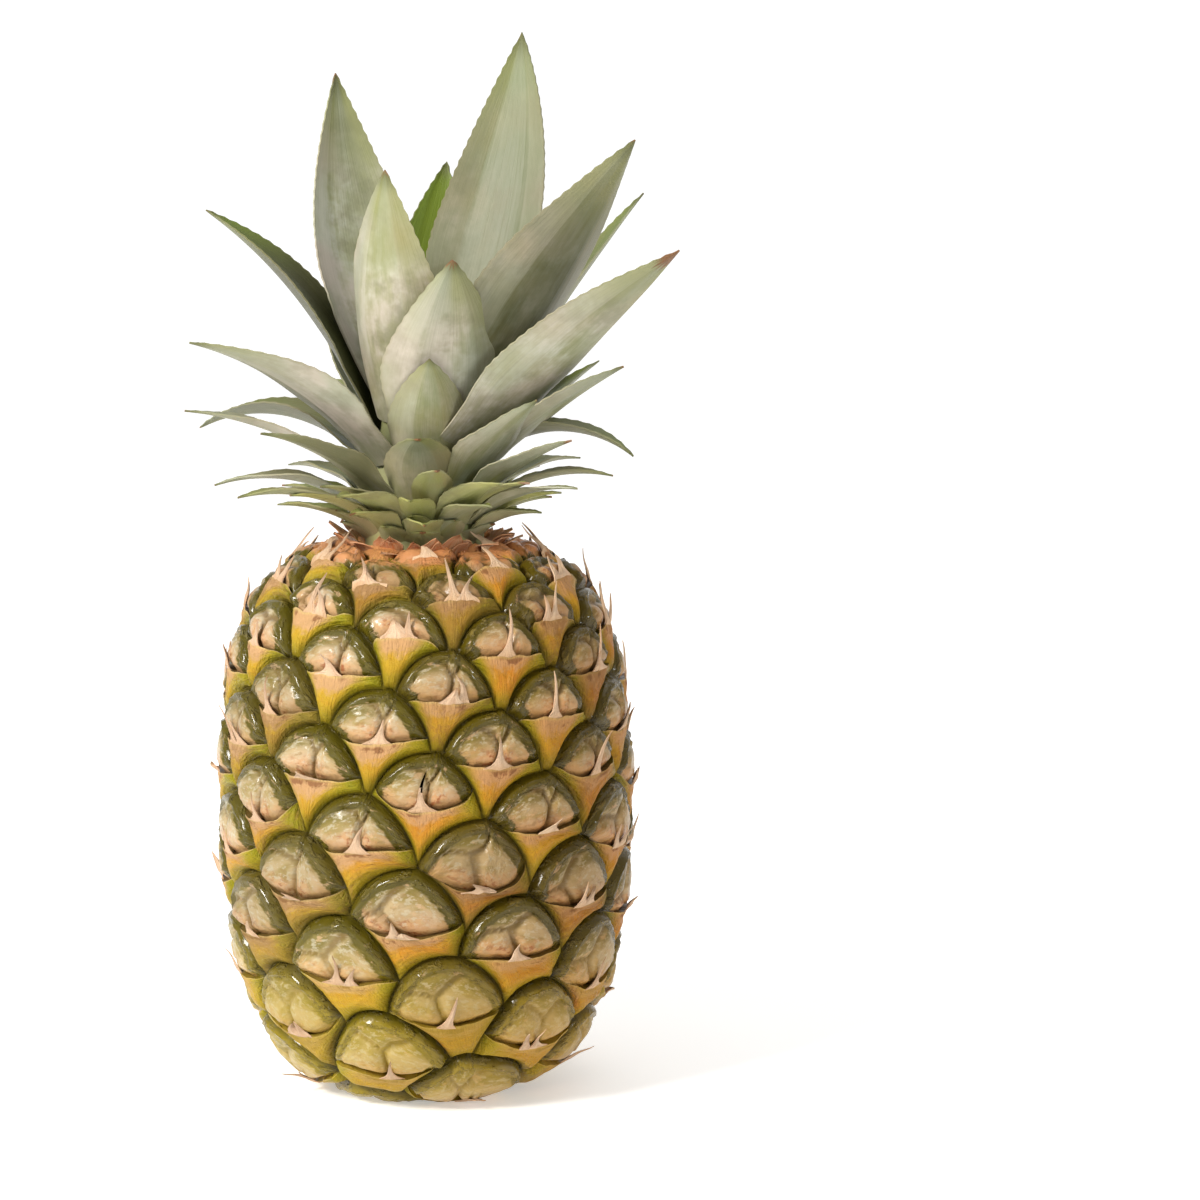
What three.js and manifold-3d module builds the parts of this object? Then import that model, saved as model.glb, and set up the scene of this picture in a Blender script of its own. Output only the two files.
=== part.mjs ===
// A whole pineapple as picked and trimmed, standing on its foot: one fruit grown together from
// spiralling fruitlets, the cut stalk under it, and a crown of leaves on a short stem of its own.
// Millimetres, +Z up, origin at the centre of the foot. Azimuth 0 faces -Y and grows towards +X.
import * as THREE from "three";
import { ConvexHull } from "three/addons/math/ConvexHull.js";
import Module from "manifold-3d";

const wasm = await Module();
wasm.setup();

// ---- Driving dimensions ----
const GAP = 0.35; // between solids that touch on the real fruit

// The floor of the grooves between the fruitlets, as [radius, height] from the top to the foot.
const SKIN = [
  [0, 159], [16, 158.9], [27, 157.6], [36, 154.2], [44, 148.2], [49.8, 140], [53.4, 130], [55.8, 118],
  [57.2, 104], [57.8, 88], [57.6, 72], [56.4, 56], [54, 41], [50.4, 28], [45, 17], [37.6, 8.2],
  [28, 3.4], [16, 1.9], [0, 1.7],
];
const SKIN_STEPS = 600;

const EYES = {
  count: 116,
  first: 0.33, // how much of the lowest fruitlet lies above the foot's middle
  divergence: THREE.MathUtils.degToRad(137.4), // turn from one fruitlet to the next
  middle: 51, // the fruitlet that faces forwards half way up
  middleAzimuth: THREE.MathUtils.degToRad(3.4),
  twist: [-0.049, 0.061], // slow swing of the spiral either side of the middle, in radians
  sizeGradient: 1.03, // how much more skin a fruitlet covers at the foot than at the top
  jitter: 0.012, // radians that a fruitlet may stray on the unit sphere
  edgeSteps: 2, // straight pieces in each side of a fruitlet's cell
  arch: 0.15, // how far a cell's upper sides bow out over the next fruitlets, in side lengths
  shieldRows: 2,
  domeRows: 2,
  shieldHeight: 3.3, // height of the bract's ledge over the groove
  domeHeight: 2.7,
  domeFoot: 1.1, // height at which the dome meets the ledge's back
  ledgeSag: 0.1, // how far the ledge dips in its middle, in half widths
};
const BRACT_TIP = { width: 5.4, thick: 1, rise: 9.5, brokenRise: 3.5, brokenShare: 0.35, bareWithin: 24 };

const SEAT = { radius: 17.8, height: 158.4 }; // flat on the fruit's top for the crown's stem
const RECESS = { mouth: 17.5, throat: 13.4, depth: 13, roof: 10.8, roofDepth: 16 };
const STUB = { foot: 9.2, top: 10.2, chamfer: 0.8 };

const CROWN_FOOT = 162.5; // leaf seats are measured up from here
const CROWN_STEM = [
  [0, SEAT.height + GAP], [17.2, SEAT.height + GAP], [17.4, 165], [16.2, 176], [14, 188],
  [11, 200], [7.2, 210], [3, 216], [0, 217],
];
const BLADE = {
  thick: 0.85, rootShare: 0.66, widestAt: 0.42, channel: 0.3, channelFrom: 0.35,
  broadTaper: 1.6, narrowTaper: 1.2,
};
const BROAD_STEPS = { along: 7, across: 4 };
const NARROW_STEPS = { along: 6, across: 2 };
const SMALL_STEPS = { along: 3, across: 2 };
const BROAD = 21.5; // leaves wider than this take the broad steps

// The large leaves, from the heart of the crown outwards. Seat is the root's height over the crown's
// foot. Tilt is the lean away from the stem at root and tip, in degrees from upright, and sweep the
// lean to one side. Bend is how late the tilt and the sweep set in.
const LEAVES = [
  { name: "heart", azimuth: 188, seat: 33, length: 80, width: 26, tilt: [16, 26], sweep: [-4, -12] },
  { name: "tallest", azimuth: 158, seat: 39, length: 114, width: 36, tilt: [18, 22], sweep: [-16, 6] },
  { name: "tall_left", azimuth: -146, seat: 36, length: 105, width: 36, tilt: [36, 6], sweep: [0, 0] },
  { name: "upright_left", azimuth: -34, seat: 33, length: 74, width: 36, tilt: [17, 3], sweep: [2, 8] },
  { name: "spread_right", azimuth: 38, seat: 31, length: 101, width: 38, tilt: [30, 34], sweep: [16, 14] },
  { name: "rear_upright", azimuth: -168, seat: 31, length: 74, width: 26, tilt: [30, 38], sweep: [0, 6] },
  { name: "upright_front", azimuth: 18, seat: 23, length: 63, width: 37, tilt: [20, 26], sweep: [0, -4] },
  { name: "edge_left", azimuth: -104, seat: 29, length: 84, width: 27, tilt: [20, 58], sweep: [0, 0] },
  { name: "rear_right", azimuth: 136, seat: 29, length: 86, width: 26, tilt: [30, 44], sweep: [0, 0] },
  { name: "edge_right", azimuth: 112, seat: 26, length: 90, width: 21, tilt: [32, 42], sweep: [0, 0] },
  { name: "low_right", azimuth: 44, seat: 23, length: 92, width: 37, tilt: [44, 50], sweep: [16, 14] },
  { name: "rear_left", azimuth: -148, seat: 24, length: 68, width: 25, tilt: [40, 56], sweep: [0, 0] },
  { name: "front_mid", azimuth: 6, seat: 19, length: 38, width: 24, tilt: [22, 30], sweep: [0, 0] },
  { name: "arch_left", azimuth: -56, seat: 21, length: 69, width: 34, tilt: [38, 76], sweep: [-4, -6] },
  { name: "rear", azimuth: 176, seat: 22, length: 82, width: 26, tilt: [42, 58], sweep: [0, 0] },
  { name: "fan_right", azimuth: 64, seat: 17, length: 57, width: 22, tilt: [46, 62], sweep: [4, 4] },
  { name: "reach_right", azimuth: 104, seat: 18, length: 48, width: 20, tilt: [42, 56], sweep: [0, 0] },
  { name: "folded_left", azimuth: -104, seat: 20, length: 58, width: 23, tilt: [42, 118], sweep: [0, 0] },
  { name: "rear_low", azimuth: 148, seat: 16, length: 66, width: 21, tilt: [48, 74], sweep: [0, 0] },
  { name: "rear_bent", azimuth: -152, seat: 15, length: 64, width: 21, tilt: [50, 82], sweep: [0, 0] },
  { name: "mid_right", azimuth: 36, seat: 14, length: 42, width: 20, tilt: [42, 54], sweep: [10, 8] },
  { name: "low_left", azimuth: -72, seat: 14, length: 59, width: 16, tilt: [48, 84], sweep: [0, 0] },
  { name: "folded_right", azimuth: 84, seat: 20, length: 50, width: 21, tilt: [42, 130], sweep: [0, 0] },
  { name: "short_left", azimuth: -40, seat: 12, length: 47, width: 18, tilt: [46, 80], sweep: [-10, -10] },
  { name: "front_low", azimuth: 0, seat: 10, length: 28, width: 22, tilt: [22, 76], sweep: [0, 0], bend: 2 },
  { name: "short_right", azimuth: 50, seat: 10, length: 42, width: 16, tilt: [50, 72], sweep: [4, 4] },
  { name: "rear_short", azimuth: 180, seat: 10, length: 50, width: 18, tilt: [52, 86], sweep: [0, 0] },
  { name: "whip_left", azimuth: -84, seat: 8, length: 45, width: 12, tilt: [54, 108], sweep: [0, 0] },
  { name: "whip_right", azimuth: 74, seat: 8, length: 42, width: 12, tilt: [50, 100], sweep: [0, 0] },
  { name: "curl_rear", azimuth: 128, seat: 8, length: 42, width: 13, tilt: [54, 96], sweep: [0, 0] },
  { name: "curl_rear_left", azimuth: -132, seat: 7, length: 42, width: 13, tilt: [56, 98], sweep: [0, 0] },
  { name: "foot_right", azimuth: 24, seat: 6, length: 34, width: 15, tilt: [52, 82], sweep: [6, 10] },
  { name: "foot_left", azimuth: -22, seat: 5.5, length: 33, width: 15, tilt: [54, 90], sweep: [-8, -8] },
  { name: "curl_left", azimuth: -60, seat: 5, length: 43, width: 12, tilt: [56, 100], sweep: [0, 0] },
  { name: "curl_right", azimuth: 54, seat: 4.5, length: 40, width: 12, tilt: [52, 92], sweep: [0, 0] },
];

// Small leaves fused to the stem, at its foot and round its top. Gather is how much more upright and
// how much longer the upper ones are.
const FOOT_LEAVES = {
  count: 22, seat: -1, rise: 6, length: 27, width: 12, tilt: [50, 94], gather: 10, sink: 3, sway: 24,
};
const BUD_LEAVES = {
  count: 7, seat: 40, rise: 10, length: 20, width: 14, tilt: [8, 22], gather: 5, sink: 3, sway: 10,
};
// Dry bracts that stand round the crown's foot, fused to the top of the fruit.
const NECK_BRACTS = { count: 12, seat: -4.6, length: 11, width: 9.5, tilt: [34, 84], sink: -2.8 };

const COLOURS = {
  fruit: "#9a8a3c",
  stub: "#c9a87a",
  crownStem: "#8d9a62",
  leaf: "#8f9b76",
};

// ---- Shared helpers ----

// A repeatable draw from 0 to 1.
function seededRandom(seed) {
  let state = seed;
  return () => {
    state = (state * 1664525 + 1013904223) % 4294967296;
    return state / 4294967296;
  };
}

function smoothStep(x) {
  return THREE.MathUtils.smoothstep(x, 0, 1);
}

// A closed surface given as points and index triples becomes a solid.
function solidFrom(points, triangles) {
  const mesh = new wasm.Mesh({
    numProp: 3,
    vertProperties: Float32Array.from(points.flatMap((p) => [p.x, p.y, p.z])),
    triVerts: Uint32Array.from(triangles.flat()),
  });
  return new wasm.Manifold(mesh);
}

// A shape turned about the upright axis, from its [radius, height] outline.
function turned(outline, sides) {
  const points = [];
  const rings = outline.map(([radius, height]) => {
    const count = radius === 0 ? 1 : sides;
    return Array.from({ length: count }, (_, i) => {
      const a = (i / sides) * Math.PI * 2;
      points.push(new THREE.Vector3(radius * Math.cos(a), radius * Math.sin(a), height));
      return points.length - 1;
    });
  });
  const triangles = [];
  for (let k = 0; k + 1 < rings.length; k++) {
    for (let i = 0; i < sides; i++) {
      const [a, b] = [rings[k][i % rings[k].length], rings[k][(i + 1) % rings[k].length]];
      const [c, d] = [rings[k + 1][i % rings[k + 1].length], rings[k + 1][(i + 1) % rings[k + 1].length]];
      pushTriangle(triangles, a, b, d);
      pushTriangle(triangles, a, d, c);
    }
  }
  return solidFrom(points, triangles);
}

// Triangles that have shrunk to a line, where a strip of quads runs into a point, are left out.
function pushTriangle(triangles, a, b, c) {
  if (a !== b && b !== c && c !== a) triangles.push([a, b, c]);
}

function named(name, solid, colour, roughness) {
  const mesh = solid.getMesh();
  const geometry = new THREE.BufferGeometry();
  geometry.setAttribute("position", new THREE.BufferAttribute(mesh.vertProperties, 3));
  geometry.setIndex(new THREE.BufferAttribute(mesh.triVerts, 1));
  geometry.computeVertexNormals();
  const material = new THREE.MeshStandardMaterial({ color: colour, roughness, metalness: 0 });
  const made = new THREE.Mesh(geometry, material);
  made.name = name;
  return made;
}

// The largest body of a solid: cutting can leave a loose scrap.
function largestBody(solid) {
  return solid.decompose().reduce((best, body) => (body.volume() > best.volume() ? body : best));
}

// ---- The skin: a surface of revolution laid out on a unit sphere without changing its angles ----

// Each row holds a point of the profile, the skin's area above it, and its polar angle on the sphere.
function layOutSkin() {
  const curve = new THREE.SplineCurve(SKIN.map(([r, z]) => new THREE.Vector2(r, z)));
  const profile = curve.getSpacedPoints(SKIN_STEPS);
  const rows = [];
  let area = 0;
  let stretch = 0;
  profile.forEach((point, i) => {
    if (i > 0) {
      const step = point.distanceTo(profile[i - 1]);
      const radius = Math.max((point.x + profile[i - 1].x) / 2, 1e-3);
      area += 2 * Math.PI * radius * step;
      stretch += step / radius;
    }
    const [before, after] = [profile[Math.max(i - 1, 0)], profile[Math.min(i + 1, SKIN_STEPS)]];
    const along = after.clone().sub(before).normalize();
    rows.push({ radius: Math.max(point.x, 0), height: point.y, area, stretch, outward: [-along.y, along.x] });
  });
  const middle = rows.find((row) => row.area >= area / 2).stretch;
  for (const row of rows) row.polar = 2 * Math.atan(Math.exp(row.stretch - middle));
  return { rows, area };
}

const skin = layOutSkin();

// The skin's row, between two rows, where a growing quantity reaches a value.
function skinRow(quantity, value) {
  let [low, high] = [0, skin.rows.length - 1];
  while (high - low > 1) {
    const middle = (low + high) >> 1;
    if (skin.rows[middle][quantity] < value) low = middle;
    else high = middle;
  }
  const [a, b] = [skin.rows[low], skin.rows[high]];
  const t = THREE.MathUtils.clamp((value - a[quantity]) / (b[quantity] - a[quantity]), 0, 1);
  const between = (x, y) => x + (y - x) * t;
  return {
    radius: between(a.radius, b.radius),
    height: between(a.height, b.height),
    polar: between(a.polar, b.polar),
    outward: [between(a.outward[0], b.outward[0]), between(a.outward[1], b.outward[1])],
  };
}

// The point of the skin in a direction of the sphere, lifted square off it.
function onSkin(direction, lift) {
  const row = skinRow("polar", Math.acos(THREE.MathUtils.clamp(direction.z, -1, 1)));
  const flat = Math.hypot(direction.x, direction.y) || 1;
  const radius = row.radius + row.outward[0] * lift;
  return new THREE.Vector3(
    (direction.x / flat) * radius,
    (direction.y / flat) * radius,
    row.height + row.outward[1] * lift,
  );
}

// ---- The fruitlets ----

// Centres of the fruitlets on the sphere, spiralling up from the foot.
function eyeCentres() {
  const random = seededRandom(11);
  return Array.from({ length: EYES.count }, (_, i) => {
    const share = (i + EYES.first) / EYES.count;
    const covered = share + (EYES.sizeGradient / 2) * share * (1 - share);
    const polar = skinRow("area", skin.area * (1 - covered)).polar;
    const past = i - EYES.middle;
    const swing = EYES.twist[0] * (past / 50) ** 2 + EYES.twist[1] * (past / 50) ** 3;
    const azimuth = EYES.middleAzimuth + past * EYES.divergence + swing;
    const centre = new THREE.Vector3(
      Math.sin(polar) * Math.sin(azimuth),
      -Math.sin(polar) * Math.cos(azimuth),
      Math.cos(polar),
    );
    const stray = new THREE.Vector3(random() - 0.5, random() - 0.5, random() - 0.5);
    return centre.addScaledVector(stray, 2 * EYES.jitter * Math.sin(polar)).normalize();
  });
}

function eastAndNorth(direction) {
  const east = new THREE.Vector3(-direction.y, direction.x, 0).normalize();
  return { east, north: new THREE.Vector3().crossVectors(direction, east) };
}

// The corners of each fruitlet's cell, in order round it: the cells are the Voronoi cells of the
// centres, and the convex hull's faces stand for their corners.
function eyeCells(centres) {
  const cells = centres.map((centre, i) => ({ centre, i, corners: [] }));
  const indexOf = new Map(centres.map((centre, i) => [centre, i]));
  const hull = new ConvexHull().setFromPoints(centres);
  hull.faces.forEach((face, corner) => {
    let edge = face.edge;
    do {
      cells[indexOf.get(edge.head().point)].corners.push({ corner, direction: face.normal.clone() });
      edge = edge.next;
    } while (edge !== face.edge);
  });
  for (const cell of cells) {
    const { east, north } = eastAndNorth(cell.centre);
    const turn = (c) => Math.atan2(c.direction.dot(north), c.direction.dot(east));
    cell.corners.sort((a, b) => turn(a) - turn(b));
  }
  return cells;
}

// Height of a fruitlet over the groove. Across runs from -1 at the left to 1 at the right, and up
// from -1 at the foot of the bract's shield, past 0 at its ledge, to 1 at the dome's far rim.
function shieldLift(across, up) {
  const round = Math.sqrt(Math.max(1 - across ** 4, 0));
  return EYES.shieldHeight * round * Math.pow(Math.max(1 - Math.abs(up) ** 2.4, 0), 0.7);
}
function domeLift(across, up) {
  const round = Math.sqrt(Math.max(1 - across ** 2, 0));
  const rise = Math.sin(Math.PI * Math.min(up / 0.95, 1)) ** 0.6;
  const foot = EYES.domeFoot * (1 - up);
  return round * Math.max(foot, foot + (EYES.domeHeight - foot) * rise);
}

// The whole skin as one closed surface of fruitlets that share their cells' sides.
function grownSkin(cells) {
  const points = [];
  const triangles = [];
  const sides = new Map();
  const vertex = (direction, lift) => {
    points.push(onSkin(direction, lift));
    return points.length - 1;
  };
  const cornerVertex = new Map();
  const atCorner = (c) => {
    if (!cornerVertex.has(c.corner)) cornerVertex.set(c.corner, vertex(c.direction, 0));
    return { index: cornerVertex.get(c.corner), direction: c.direction };
  };
  // The points of a side after its first corner and before its second, made once for both cells.
  const alongSide = (a, b) => {
    const key = a.corner < b.corner ? `${a.corner} ${b.corner}` : `${b.corner} ${a.corner}`;
    if (!sides.has(key)) {
      const inner = [];
      for (let k = 1; k < EYES.edgeSteps; k++) {
        const direction = archedSide(a.direction, b.direction, k / EYES.edgeSteps);
        inner.push({ index: vertex(direction, 0), direction });
      }
      sides.set(key, { from: a.corner, inner });
    }
    const side = sides.get(key);
    return side.from === a.corner ? side.inner : [...side.inner].reverse();
  };
  for (const cell of cells) {
    const border = cell.corners.flatMap((c, i) => {
      const next = cell.corners[(i + 1) % cell.corners.length];
      return [atCorner(c), ...alongSide(c, next)];
    });
    growEye(cell, border, vertex, triangles);
  }
  return solidFrom(points, triangles);
}

// A point along a cell's side, bowed upwards so that the dome below it ends in a rounded arch.
function archedSide(from, to, share) {
  const direction = from.clone().lerp(to, share).normalize();
  const { east, north } = eastAndNorth(direction);
  const side = to.clone().sub(from);
  const level = Math.abs(side.dot(east));
  const square = new THREE.Vector3().crossVectors(direction, side);
  square.multiplyScalar(Math.sign(square.dot(north)) / side.length());
  const bow = EYES.arch * level * 4 * share * (1 - share);
  return direction.addScaledVector(square, bow).normalize();
}

// One fruitlet: rows of points from the lower side of its cell, over the shield to the ledge, down
// the ledge's back and over the dome to the upper side.
function growEye(cell, border, vertex, triangles) {
  const { east, north } = eastAndNorth(cell.centre);
  const columns = border.length / 2;
  const left = levelSplit(border, east);
  const at = (i) => border[(i + border.length) % border.length];
  const [west, eastEnd] = [at(left), at(left + columns)];
  const halfWidth = west.direction.distanceTo(eastEnd.direction) / 2;
  cell.halfWidth = halfWidth;
  const grid = [];
  for (let j = 0; j <= columns; j++) {
    const [lower, upper] = [at(left + j), at(left - j)];
    const across = (2 * j) / columns - 1;
    if (j === 0 || j === columns) {
      grid.push(new Array(EYES.shieldRows + EYES.domeRows + 2).fill(lower.index));
      continue;
    }
    const straight = west.direction.clone().lerp(eastEnd.direction, j / columns);
    const level = cell.centre.clone().addScaledVector(east, across * halfWidth);
    const ledge = straight.lerp(level, 1 - across ** 4);
    ledge.addScaledVector(north, -EYES.ledgeSag * halfWidth * (1 - across ** 2)).normalize();
    const column = [lower.index];
    for (let k = EYES.shieldRows - 1; k >= 0; k--) {
      const up = -k / EYES.shieldRows;
      const direction = ledge.clone().lerp(lower.direction, -up).normalize();
      column.push(vertex(direction, shieldLift(across, up)));
    }
    const behind = ledge.clone().addScaledVector(north, 0.06 * halfWidth).normalize();
    for (let k = 0; k < EYES.domeRows; k++) {
      const up = k / EYES.domeRows;
      const direction = behind.clone().lerp(upper.direction, up).normalize();
      column.push(vertex(direction, domeLift(across, up)));
    }
    column.push(upper.index);
    grid.push(column);
  }
  for (let j = 0; j < columns; j++) {
    for (let k = 0; k + 1 < grid[j].length; k++) {
      const [a, b, c, d] = [grid[j][k], grid[j + 1][k], grid[j + 1][k + 1], grid[j][k + 1]];
      pushTriangle(triangles, a, b, c);
      pushTriangle(triangles, a, c, d);
    }
  }
}

// The border point on the left from which the line to the opposite point runs most level.
function levelSplit(border, east) {
  const half = border.length / 2;
  let best = { tilt: Infinity, start: 0 };
  border.forEach((point, i) => {
    const opposite = border[(i + half) % border.length];
    const tilt = Math.abs(point.direction.z - opposite.direction.z);
    const onLeft = point.direction.dot(east) < opposite.direction.dot(east);
    if (onLeft && tilt < best.tilt) best = { tilt, start: i };
  });
  return best.start;
}

// The papery point of a fruitlet's bract, rooted in the shield and leaning over the dome.
function bractTip(cell, random) {
  const broken = random() < BRACT_TIP.brokenShare;
  const rise = (broken ? BRACT_TIP.brokenRise : BRACT_TIP.rise) * (0.8 + 0.4 * random());
  const lean = (random() - 0.5) * 3;
  const flare = 1 + random() * 2.4;
  const base = onSkin(cell.centre, 0);
  const out = onSkin(cell.centre, 1).sub(base);
  const { east } = eastAndNorth(cell.centre);
  const up = new THREE.Vector3().crossVectors(out, east);
  const place = (x, y, z) =>
    base.clone().addScaledVector(east, x).addScaledVector(up, y).addScaledVector(out, z);
  const ring = (y, z, width, shift) => [
    place(shift - width / 2, y, z),
    place(shift, y - BRACT_TIP.thick, z + BRACT_TIP.thick),
    place(shift + width / 2, y, z),
  ];
  const points = [
    ...ring(-3.2, EYES.shieldHeight - 2, BRACT_TIP.width, 0),
    ...ring(rise * 0.35, EYES.shieldHeight + 0.5, BRACT_TIP.width * 0.5, lean * 0.3),
    place(lean, rise, EYES.shieldHeight + flare),
  ];
  const triangles = [[0, 2, 1], [0, 4, 3], [0, 1, 4], [1, 5, 4], [1, 2, 5], [2, 3, 5], [2, 0, 3]];
  triangles.push([3, 4, 6], [4, 5, 6], [5, 3, 6]);
  return solidFrom(points, triangles);
}

// The dry bracts round the crown's foot.
function neckBracts(random) {
  return Array.from({ length: NECK_BRACTS.count }, (_, i) => blade({
    ...NECK_BRACTS,
    azimuth: ((i + 0.5 * random()) * 360) / NECK_BRACTS.count,
    length: NECK_BRACTS.length * (0.6 + 0.8 * random()),
    sweep: [0, 50 * (random() - 0.5)],
  }, SMALL_STEPS));
}

function makeFruit(crownRoom) {
  const cells = eyeCells(eyeCentres());
  const random = seededRandom(5);
  const bare = skinRow("radius", BRACT_TIP.bareWithin).polar;
  const tipped = cells.filter(({ centre }) => Math.acos(Math.abs(centre.z)) > bare);
  const tips = tipped.map((cell) => bractTip(cell, random));
  const grown = wasm.Manifold.union([grownSkin(cells), ...tips, ...neckBracts(random)]);
  const seat = turned([[0, SEAT.height], [SEAT.radius, SEAT.height], [SEAT.radius, 190], [0, 190]], 24);
  const recess = turned([
    [0, -6], [RECESS.mouth + 2, -6], [RECESS.mouth, 0], [RECESS.throat, RECESS.depth],
    [RECESS.roof, RECESS.roofDepth], [0, RECESS.roofDepth],
  ], 20);
  const ground = turned([[0, -30], [80, -30], [80, 0], [0, 0]], 24);
  return largestBody([seat, recess, ground, ...crownRoom].reduce((solid, cut) => solid.subtract(cut), grown));
}

function makeStub() {
  const top = RECESS.roofDepth - GAP;
  return turned([
    [0, 0], [STUB.foot - STUB.chamfer, 0], [STUB.foot, STUB.chamfer], [STUB.top, top], [0, top],
  ], 20);
}

// ---- The crown ----

function stemRadius(height) {
  const outline = CROWN_STEM.slice(1);
  const above = outline.findIndex(([, z]) => z >= height);
  const [[r0, z0], [r1, z1]] = [outline[Math.max(above - 1, 0)], outline[Math.max(above, 1)]];
  return r0 + ((r1 - r0) * (height - z0)) / (z1 - z0);
}

// Half the blade's width at a share of its length: a clasping root, a wide middle, a drawn-out tip.
function halfWidthAt(share, width) {
  const { rootShare, widestAt, broadTaper, narrowTaper } = BLADE;
  if (share < widestAt) return (width / 2) * (rootShare + (1 - rootShare) * smoothStep(share / widestAt));
  const past = (share - widestAt) / (1 - widestAt);
  return (width / 2) * (1 - past ** (width > BROAD ? broadTaper : narrowTaper));
}

// A channelled blade that leaves the stem at its seat and bends outwards, hollow side inwards.
// extra widens and thickens it, to cut its neighbours clear.
function blade(leaf, steps, extra = 0) {
  const { along, across } = steps;
  const half = BLADE.thick / 2 + extra;
  const rootHeight = CROWN_FOOT + leaf.seat;
  const azimuth = THREE.MathUtils.degToRad(leaf.azimuth);
  const away = new THREE.Vector3(Math.sin(azimuth), -Math.cos(azimuth), 0);
  const rootRadius = stemRadius(rootHeight) + GAP + BLADE.thick * 0.6 - (leaf.sink ?? 0);
  const middle = away.clone().multiplyScalar(rootRadius).setZ(rootHeight);
  const points = [];
  const layers = { outer: [], inner: [] };
  const fine = 12;
  for (let k = 0; k <= along; k++) {
    const share = k / along;
    const { heading, across: side } = leafFrame(leaf, share);
    const inwards = new THREE.Vector3().crossVectors(heading, side);
    const width = Math.max(halfWidthAt(share, leaf.width), 0.01) + extra;
    const channel = BLADE.channel * smoothStep(share / BLADE.channelFrom);
    const shell = Math.hypot(middle.x, middle.y) / Math.max(heading.z, 0.05);
    const bow = Math.min(shell, width / (2 * Math.max(channel, 0.01)));
    for (const layer of ["outer", "inner"]) {
      const offset = layer === "outer" ? -half : half;
      const row = [];
      for (let j = 0; j <= across; j++) {
        const angle = (width * ((2 * j) / across - 1)) / bow;
        const tip = k === along;
        if (tip && j > 0) {
          row.push(row[0]);
          continue;
        }
        const sideways = tip ? 0 : (bow - offset) * Math.sin(angle);
        const inward = tip ? offset : bow - (bow - offset) * Math.cos(angle);
        points.push(middle.clone().addScaledVector(side, sideways).addScaledVector(inwards, inward));
        row.push(points.length - 1);
      }
      layers[layer].push(row);
    }
    for (let i = 0; i < fine; i++) {
      const onward = leafFrame(leaf, share + (i + 0.5) / (fine * along)).heading;
      middle.addScaledVector(onward, leaf.length / along / fine);
    }
  }
  return solidFrom(points, bladeFaces(layers, along, across));
}

// Which way a leaf runs at a share of its length, and the direction across its blade.
function leafFrame(leaf, share) {
  const late = Math.min(share, 1) ** (leaf.bend ?? 1);
  const turn = ([root, tip]) => THREE.MathUtils.degToRad(root + (tip - root) * late);
  const [tilt, sweep, azimuth] = [turn(leaf.tilt), turn(leaf.sweep), THREE.MathUtils.degToRad(leaf.azimuth)];
  const away = new THREE.Vector3(Math.sin(azimuth), -Math.cos(azimuth), 0);
  const side = new THREE.Vector3(Math.cos(azimuth), Math.sin(azimuth), 0);
  const outwards = away.multiplyScalar(Math.sin(tilt)).setZ(Math.cos(tilt));
  const heading = outwards.clone().multiplyScalar(Math.cos(sweep)).addScaledVector(side, Math.sin(sweep));
  const across = side.multiplyScalar(Math.cos(sweep)).addScaledVector(outwards, -Math.sin(sweep));
  return { heading, across };
}

// The two faces of a blade are split along the same diagonals, so that they never cross.
function bladeFaces({ outer, inner }, along, across) {
  const triangles = [];
  const quad = (a, b, c, d) => {
    pushTriangle(triangles, a, b, c);
    pushTriangle(triangles, a, c, d);
  };
  for (let k = 0; k < along; k++) {
    for (let j = 0; j < across; j++) {
      quad(outer[k][j], outer[k][j + 1], outer[k + 1][j + 1], outer[k + 1][j]);
      const [a, b, c, d] = [inner[k][j], inner[k][j + 1], inner[k + 1][j + 1], inner[k + 1][j]];
      pushTriangle(triangles, a, c, b);
      pushTriangle(triangles, a, d, c);
    }
    quad(outer[k][0], outer[k + 1][0], inner[k + 1][0], inner[k][0]);
    quad(outer[k][across], inner[k][across], inner[k + 1][across], outer[k + 1][across]);
  }
  for (let j = 0; j < across; j++) quad(outer[0][j], inner[0][j], inner[0][j + 1], outer[0][j + 1]);
  return triangles;
}

// The large leaves, each cut clear of those nearer the heart.
function makeLeaves() {
  const placed = [];
  for (const leaf of LEAVES) {
    const steps = leaf.width > BROAD ? BROAD_STEPS : NARROW_STEPS;
    let solid = blade(leaf, steps);
    for (const { room } of placed) {
      if (solid.intersect(room).volume() > 0) solid = solid.subtract(room);
    }
    placed.push({ leaf, solid: largestBody(solid), room: blade(leaf, steps, GAP) });
  }
  return placed;
}

// A spiral of small leaves.
function smallLeaves(set, seed) {
  const random = seededRandom(seed);
  return Array.from({ length: set.count }, (_, i) => {
    const up = i / set.count;
    return {
      azimuth: i * 137.5 + 10 * random(),
      seat: set.seat + set.rise * up,
      length: (set.length + set.gather * up) * (0.85 + 0.3 * random()),
      width: set.width,
      tilt: set.tilt.map((tilt) => tilt - set.gather * up),
      sweep: [0, set.sway * (random() - 0.5)],
      sink: set.sink,
    };
  });
}

// ---- Assembly ----

const leaves = makeLeaves();
const small = [...smallLeaves(FOOT_LEAVES, 23), ...smallLeaves(BUD_LEAVES, 29)];
const stem = wasm.Manifold.union([turned(CROWN_STEM, 20), ...small.map((leaf) => blade(leaf, SMALL_STEPS))]);
const crownStem = largestBody(leaves.reduce((solid, { room }) => solid.subtract(room), stem));
const crownRoom = [...leaves.map(({ room }) => room), ...small.map((leaf) => blade(leaf, SMALL_STEPS, GAP))];

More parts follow.
